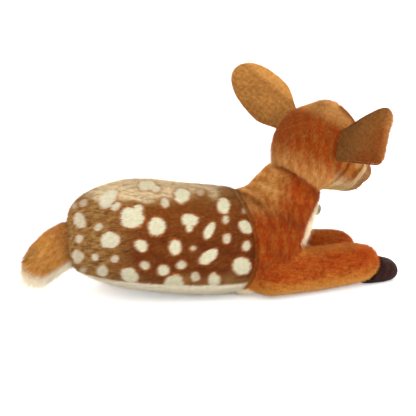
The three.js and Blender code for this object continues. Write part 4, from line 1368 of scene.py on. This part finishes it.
seen = TAIL.inside(np.array([p.center for p in brush.data.polygons]) / MM)
tail_parts = [
    dressed(cut_panel("tail_upper", brush, seen[:, 2] < TAIL_SEAM, 1), tail_comb, tail_colour, "tail",
            long=9.5, wide=0.5, lift=0.55, droop=0.2, ruffle=0.36, swirl=0.8, threads=2.6, seed=30,
            keep=tail_keep, fuzz=0.5),
    dressed(cut_panel("tail_under", brush, seen[:, 2] >= TAIL_SEAM, 1), tail_comb, tail_under_colour, "tail",
            long=12, wide=0.45, lift=0.8, droop=0.1, ruffle=0.5, swirl=0.9, threads=2.6, seed=31,
            keep=tail_keep, fuzz=0.6),
]
for piece, nodes in zip(tail_parts, (["tail_upper_skin", "tail_filling"], ["tail_under_skin"])):
    start, end = (TAIL.outside(np.array([along, 0, 0])) for along in TAIL_BLEND)
    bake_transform(piece)
    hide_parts(*nodes)

# %% [markdown]
# An ear is two leaves of short plush, sewn at their rim. Each starts as a flat grid. Its columns are drawn in
# to the ear's outline, its edges curl forwards, and its middle is padded. The left ear has a round end. The
# right one is blunt, nearly flat across, and curves forwards along its length. The lining is a little
# smaller than the outer leaf, so that none of it shows from behind.

# %% Ears
EAR_LENGTH = 70
EAR_HALF = 25
EAR_SHIFT = 2.5  # the left ear lies this far beside its middle line
BLUNT_LENGTH = 66
BLUNT_HALF = 17  # half the right ear's width at its root
BLUNT_SPREAD = 16  # and how much that grows to its end
BLUNT_SHIFT = (-4.6, 6.6)  # how far its middle is off to the side at its root, and what its end adds to that
BLUNT_BEND_START = 18
BLUNT_BEND_RADIUS = 120
BLUNT_ROOT = -4
BLUNT_END = ((-30, -9, 9, 21, 30), (-3, -1, 1, 1, -2))  # across, and how far the end reaches there
EAR_CUP = 8  # how far the rim comes forward where an ear is CUP_HALF wide on that side
BLUNT_CUP = (0.5, 3.5)  # the right ear is nearly flat across
CUP_HALF = 27
EAR_WALL = 0.8
RIM = 1.4  # how far the outer leaf folds over the edge of the lining
EAR_PAD = 2.3  # from the middle of an ear to either side of it
EAR_ROOT = -8  # the cloth starts this far inside the head's pile


def round_outline(x):
    """Half the left ear's width, at a share of its length."""
    root = 0.5 + 0.5 * ease(x, -0.2, 0.3)
    return EAR_HALF * root * (1 - np.clip((x - 0.25) / 0.75, 0, 1) ** 2.6) ** (1 / 2.2)


def blunt_outline(x, across):
    """Half the right ear's width, which grows up to its blunt end. Its upper corner is the rounder one."""
    end = np.clip(x, 0, 1)
    corner = np.where(across > 0, (1 - end**9) ** (1 / 3), (1 - end**16) ** (1 / 6))
    return (BLUNT_HALF + BLUNT_SPREAD * x) * corner


def ear_leaf(side, face):
    """The outer leaf, with face 1, or the lining, with face -1."""
    near = side == "right"
    bm = bmesh.new()
    bmesh.ops.create_grid(bm, x_segments=44, y_segments=28, size=1)
    rows = np.array([v.co for v in bm.verts])
    along = 1 - ((1 - rows[:, 0]) / 2) ** 1.4  # more columns near the end
    length, root = (BLUNT_LENGTH, BLUNT_ROOT) if near else (EAR_LENGTH, EAR_ROOT)
    x = root + (length - root) * along
    share = np.minimum(x / length, 1)
    half = blunt_outline(share, rows[:, 1]) if near else round_outline(share)
    if face < 0:
        half, x = half - RIM * (1 - share**8), x - RIM * share**8
    y = rows[:, 1] * half
    if near:
        y += BLUNT_SHIFT[1] * share + BLUNT_SHIFT[0]
        x += share**3 * np.interp(y, *BLUNT_END)
    else:
        y += EAR_SHIFT
    pad = EAR_PAD * (1 - np.maximum(np.abs(rows[:, 1]) ** 4, share**12))
    cup = np.where(rows[:, 1] < 0, *BLUNT_CUP) if near else EAR_CUP
    z = face * pad - cup * half / CUP_HALF * rows[:, 1] ** 2
    if near:
        bend = np.clip(x - BLUNT_BEND_START, 0, None) / BLUNT_BEND_RADIUS
        x = x + BLUNT_BEND_RADIUS * (np.sin(bend) - bend)
        z = z - BLUNT_BEND_RADIUS * (1 - np.cos(bend))
    for vert, place in zip(bm.verts, EAR[side].outside(np.stack([x, y, z], axis=1)) * MM):
        vert.co = place
    bmesh.ops.remove_doubles(bm, verts=bm.verts, dist=0.05 * MM)
    if face < 0:
        bmesh.ops.reverse_faces(bm, faces=bm.faces)
    return of_bmesh(f"ear_{side}_" + ("back" if face > 0 else "lining"), bm)


for number, side in enumerate(EAR):
    comb = combed(*EAR[side].way(1, 0, 0))
    back = dressed(ear_leaf(side, 1), comb, ear_colour(side), "ear", long=3.2, wide=0.36, lift=0.5,
                   ruffle=0.3, swirl=0.5, threads=5.5, seed=40 + number, wall=EAR_WALL, fuzz=0.4)
    front = dressed(ear_leaf(side, -1), comb, lining_colour, "cream", long=3.4, wide=0.4, lift=0.5,
                    ruffle=0.25, swirl=0.5, threads=3.0, seed=50 + number, wall=EAR_WALL)
    for piece, node, finish in ((back, "back", "ear_pile"), (front, "lining", "cream_pile")):
        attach(piece, f"ear_{side}")
        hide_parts(f"ear_{node}_{side}")

# %% [markdown]
# Hooves and nose are velour, a plush with hardly any pile. They keep the shape of their solids.

# %% Hooves and nose
snout = melted("nose_velour", ["nose_pad"], 0.8 * MM, 5)
for number, (leg, cap) in enumerate(hooves.items()):
    cap.name = cap.data.name = leg_node(leg, "hoof") + "_velour"
    piece = dressed(cap, leg_comb(leg), hoof_colour, "hoof", long=1.6, wide=0.4, lift=0.35, ruffle=0.16,
                    swirl=0.3, threads=6, seed=60 + number, wall=0)
    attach(piece, leg)
    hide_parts(leg_node(leg, "hoof"))
nose = dressed(snout, combed(0, 0, -1), hoof_colour, "hoof", long=0.9, wide=0.3, lift=0.4, ruffle=0.16,
               threads=9, seed=70, wall=0)
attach(nose, "head")
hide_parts("nose_pad")

for source in (hide, skull, brush):
    bpy.data.objects.remove(source)

# %% [markdown]
# What isn't plush is small: two safety eyes, the thread of the mouth, a round woven patch on the bib and a
# blank ribbon label. Woven and twisted things share one node group, which gives a height for a bump and for
# the painted shade between the yarns.

# %% Weave


def make_weave_group():
    """Height of crossing yarns, from the object's own coordinates. Pitch is how many yarns per metre."""
    tree = bpy.data.node_groups.new("weave", "ShaderNodeTree")
    tree.interface.new_socket("Pitch", in_out="INPUT", socket_type="NodeSocketFloat")
    tree.interface.new_socket("Height", in_out="OUTPUT", socket_type="NodeSocketFloat")
    tree.interface.new_socket("Mottle", in_out="OUTPUT", socket_type="NodeSocketFloat")
    given = tree.nodes.new("NodeGroupInput").outputs
    place = scaled(tree, tree.nodes.new("ShaderNodeTexCoord").outputs["Object"], given["Pitch"])
    waves = [wired(tree, "ShaderNodeTexWave", {"Vector": place, "Scale": 0.5, "Distortion": 0.6},
                   wave_type="BANDS", bands_direction=way).outputs["Fac"] for way in "XYZ"]
    height = sums(tree, "MAXIMUM", sums(tree, "MAXIMUM", waves[0], waves[1]), waves[2])
    cloud = wired(tree, "ShaderNodeTexNoise", {"Vector": place, "Scale": 0.4, "Detail": 2.0})
    end = tree.nodes.new("NodeGroupOutput")
    tree.links.new(height, end.inputs["Height"])
    tree.links.new(cloud.outputs[0], end.inputs["Mottle"])
    return tree


weave_group = make_weave_group()


def woven(name, light, dark, pitch, bump, roughness, sheen=0.1):
    material, tree, shader = new_material(name)
    group = wired(tree, "ShaderNodeGroup", {"Pitch": pitch}, node_tree=weave_group)
    # The yarns are painted lighter where they rise and darker in the hollows between them, painted shade,
    # while the mottle varies their tone.
    share = sums(tree, "MULTIPLY", group.outputs["Height"], group.outputs["Mottle"])
    colour = between(tree, share, (*dye(*dark), 1), (*dye(*light), 1))
    tree.links.new(colour, shader.inputs["Base Color"])
    raised = wired(tree, "ShaderNodeBump",
                   {"Height": group.outputs["Height"], "Strength": bump, "Distance": 0.1 * MM})
    tree.links.new(raised.outputs[0], shader.inputs["Normal"])
    shader.inputs["Roughness"].default_value = roughness
    shader.inputs["Sheen Weight"].default_value = sheen
    return material


finishes["patch"] = woven("olive patch weave", (168, 164, 130), (96, 94, 70), 2600, 0.6, 0.85)
finishes["ribbon"] = woven("white satin ribbon", (250, 249, 244), (214, 212, 204), 5200, 0.25, 0.42, 0.3)
finishes["thread"] = woven("dark twisted thread", (66, 42, 32), (24, 14, 10), 3400, 0.8, 0.75)
print("woven finishes: patch, ribbon and thread")

# %% [markdown]
# A safety eye is a turned form: half its profile is spun once round. Its dome is polished plastic, near
# black with a trace of brown, under a thin gloss.

# %% Eyes
EYE_HALF = 6.5
DOME_MIDDLE = 1.6  # the height of its widest place
DOME_HEIGHT = 4.2
DOME_BACK = 0.4  # the height of its flat back
DOME_BEVEL = 1
EYE_SINK = 2.2  # the skin was melted 2 mm inside the solids, so the eye is set deeper than its own solid
POST_RADIUS = 2
POST_LENGTH = 10
POST_BEVEL = 0.4
POST_FILLET = 0.3  # between the post and the dome's back
EYE_OUT = {"left": (-0.0843, 0.98588, 0.14467), "right": (0.91838, -0.34472, -0.1943)}


def moulded(name, shallow, deep, roughness, coat):
    """Plastic whose colour drifts a little, with the faint ripple that a mould leaves."""
    material, tree, shader = new_material(name)
    place = tree.nodes.new("ShaderNodeTexCoord").outputs["Object"]
    cloud = wired(tree, "ShaderNodeTexNoise", {"Vector": place, "Scale": 160.0, "Detail": 2.0})
    ramp = wired(tree, "ShaderNodeValToRGB", {"Fac": cloud.outputs[0]})
    for stop, position, colour in zip(ramp.color_ramp.elements, (0.4, 0.75), (deep, shallow)):
        stop.position, stop.color = position, (*dye(*colour), 1)
    tree.links.new(ramp.outputs["Color"], shader.inputs["Base Color"])
    ripple = wired(tree, "ShaderNodeBump",
                   {"Height": cloud.outputs[0], "Strength": 0.05, "Distance": 0.2 * MM})
    tree.links.new(ripple.outputs[0], shader.inputs["Normal"])
    shader.inputs["Roughness"].default_value = roughness
    shader.inputs["Specular IOR Level"].default_value = 0.3
    shader.inputs["Coat Weight"].default_value = coat
    shader.inputs["Coat Roughness"].default_value = 0.03
    return material


def spun(name, profile, middle, out, steps=40):
    """A turned piece: a profile of (radius, height) spun round an axis."""
    bm = bmesh.new()
    verts = [bm.verts.new((radius * MM, 0, height * MM)) for radius, height in profile]
    edges = [bm.edges.new(pair) for pair in zip(verts, verts[1:])]
    bmesh.ops.spin(bm, geom=verts + edges, cent=(0, 0, 0), axis=(0, 0, 1), angle=2 * math.pi, steps=steps,
                   use_merge=True)
    bmesh.ops.remove_doubles(bm, verts=bm.verts, dist=1e-6)
    bmesh.ops.recalc_face_normals(bm, faces=bm.faces)
    turn = Vector(out).to_track_quat("Z", "Y").to_matrix().to_4x4()
    bm.transform(Matrix.Translation(Vector(middle) * MM) @ turn)
    return of_bmesh(name, bm)


finishes["eye"] = moulded("eye plastic", (40, 18, 8), (7, 4, 3), 0.1, 0.2)
finishes["washer"] = moulded("white moulded plastic", (236, 236, 232), (222, 221, 216), 0.45, 0.0)
arc = [math.radians(angle) for angle in range(-20, 91, 11)]
dome = [(EYE_HALF * math.cos(a), DOME_MIDDLE + DOME_HEIGHT * math.sin(a)) for a in arc[:-1]]
eye_profile = [(0, -POST_LENGTH), (POST_RADIUS - POST_BEVEL, -POST_LENGTH),
               (POST_RADIUS, POST_BEVEL - POST_LENGTH), (POST_RADIUS, DOME_BACK - POST_FILLET),
               (POST_RADIUS + POST_FILLET, DOME_BACK), (EYE_HALF - DOME_BEVEL, DOME_BACK),
               *dome, (0, DOME_MIDDLE + DOME_HEIGHT)]
for side in ("left", "right"):
    seat = EYE[side].middle - EYE_SINK * np.array(EYE_OUT[side])
    eye = spun(f"eye_{side}_dome", eye_profile, seat, EYE_OUT[side])
    covered(eye, "eye")
    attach(eye, "head")
    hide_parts(f"eye_{side}")
    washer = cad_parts[f"eye_washer_{side}"]
    washer.data.materials.clear()
    washer.data.materials.append(finishes["washer"])
print("each eye is", 2 * EYE_HALF, "mm across")

# %% [markdown]
# The mouth is one line of thick thread, and the patch on the bib a disc of woven cloth. Both are melted from
# their solids, which rounds their edges.

# %% Mouth thread and patch
MOUTH_SINK = 1.3  # the stitches lie in the short pile, nearer the melted skin than their solid
for node, name, voxel, finish, slot, body in [
        ("mouth_thread", "mouth_stitch", 0.35, "thread", "dark_thread", "head"),
        ("chest_tag", "round_patch", 0.5, "patch", "tag_cloth", "torso")]:
    piece = melted(name, [node], voxel * MM, 4)
    if body == "head":
        set_places(piece.data, places(piece.data) - MOUTH_SINK * MM * HEAD.way(0.85, 0, -0.5))
    covered(piece, finish)
    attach(piece, body)
    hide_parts(node)

# %% [markdown]
# The label is a strip of satin ribbon sewn into the seam on the far side. A grid is bent along its length,
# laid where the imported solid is, and given a thin wall. It is blank.

# %% Care label
LABEL_WIDTH = 18
LABEL_LENGTH = 21  # three millimetres of it are inside the seam
LABEL_THICKNESS = 0.3
LABEL_CURL = 1.2  # how far it bends along its length
LABEL_WAVE = 0.5  # and across it
LABEL_OUT = Vector((-0.55, 1.5, -0.2)).normalized()
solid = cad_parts["care_label"].data
flat_way = max(solid.polygons, key=lambda polygon: polygon.area).normal.copy()
side_way = LABEL_OUT.cross(flat_way).normalized()
reach = max(vert.co.dot(LABEL_OUT) for vert in solid.vertices)
end_points = [vert.co for vert in solid.vertices if vert.co.dot(LABEL_OUT) > reach - 0.5 * MM]
label_end = sum(end_points, Vector()) / len(end_points)
bm = bmesh.new()
bmesh.ops.create_grid(bm, x_segments=24, y_segments=16, size=0.5)
for vert in bm.verts:
    back = (0.5 - vert.co.x) * LABEL_LENGTH * MM
    curl = MM * (LABEL_CURL * math.sin(2.6 * (vert.co.x + 0.5)) + LABEL_WAVE * math.cos(5 * vert.co.y))
    vert.co = label_end - LABEL_OUT * back + side_way * vert.co.y * LABEL_WIDTH * MM + flat_way * curl
label = of_bmesh("label_ribbon", bm)
with_modifier(label, "SOLIDIFY", thickness=LABEL_THICKNESS * MM, offset=0)
covered(label, "ribbon")
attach(label, "torso")
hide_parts("care_label")
print("the label is", LABEL_WIDTH, "by", LABEL_LENGTH, "mm")

# %% [markdown]
# The studio is a plain pale floor among six large soft lights, as even as the light of the photograph. The
# world shows white to the camera and in reflections, and lights the fawn a quarter less than that.

# %% Floor and light
SKY = 0.74
FLOOR_GLOW = 0.4  # lifts the floor to white where the camera sees it
world = bpy.data.worlds.new("studio")
bpy.context.scene.world = world
world.use_nodes = True
tree = world.node_tree
sky = tree.nodes["Background"]
sky.inputs["Color"].default_value = (1, 1, 1, 1)
path = tree.nodes.new("ShaderNodeLightPath")
seen = sums(tree, "MAXIMUM", path.outputs["Is Camera Ray"],
            sums(tree, "MAXIMUM", path.outputs["Is Glossy Ray"], path.outputs["Is Transmission Ray"]))
tree.links.new(sums(tree, "ADD", SKY, sums(tree, "MULTIPLY", seen, 1 - SKY)), sky.inputs["Strength"])


def lamp(name, place, size, power):
    light = bpy.data.lights.new(name, "AREA")
    light.shape, light.size, light.energy = "SQUARE", size, power
    holder = bpy.data.objects.new(name, light)
    bpy.context.scene.collection.objects.link(holder)
    holder.location = place
    holder.rotation_mode = "QUATERNION"
    holder.rotation_quaternion = (AIM - Vector(place)).to_track_quat("-Z", "Y")


LAMPS = {  # place and size in metres, and power in watts
    "key": ((-0.5, -1.1, 1.2), 0.9, 11), "top": ((0.2, 0.3, 1.5), 1.2, 11),
    "fill": ((0.5, -1.3, 0.15), 0.9, 8), "side": ((1.5, -0.4, 0.4), 0.7, 6),
    "back": ((0.9, 0.9, 0.9), 0.8, 8), "rump": ((-1.3, 0.6, 0.6), 0.9, 6),
}
for name, (place, size, power) in LAMPS.items():
    lamp(name, place, size, power)

FLOOR_HALF = 3  # half the floor's width, in metres
bm = bmesh.new()
bmesh.ops.create_grid(bm, x_segments=1, y_segments=1, size=FLOOR_HALF)
floor = of_bmesh("floor", bm)
paper, tree, shader = new_material("paper")
shader.inputs["Base Color"].default_value = (0.9, 0.9, 0.9, 1)
shader.inputs["Roughness"].default_value = 0.9
shader.inputs["Emission Color"].default_value = (1, 1, 1, 1)
path = tree.nodes.new("ShaderNodeLightPath")
glow = sums(tree, "MULTIPLY", path.outputs["Is Camera Ray"], FLOOR_GLOW)
tree.links.new(glow, shader.inputs["Emission Strength"])
floor.data.materials.append(paper)
bpy.context.scene.view_settings.view_transform = "Standard"
print(len(LAMPS), "lamps")
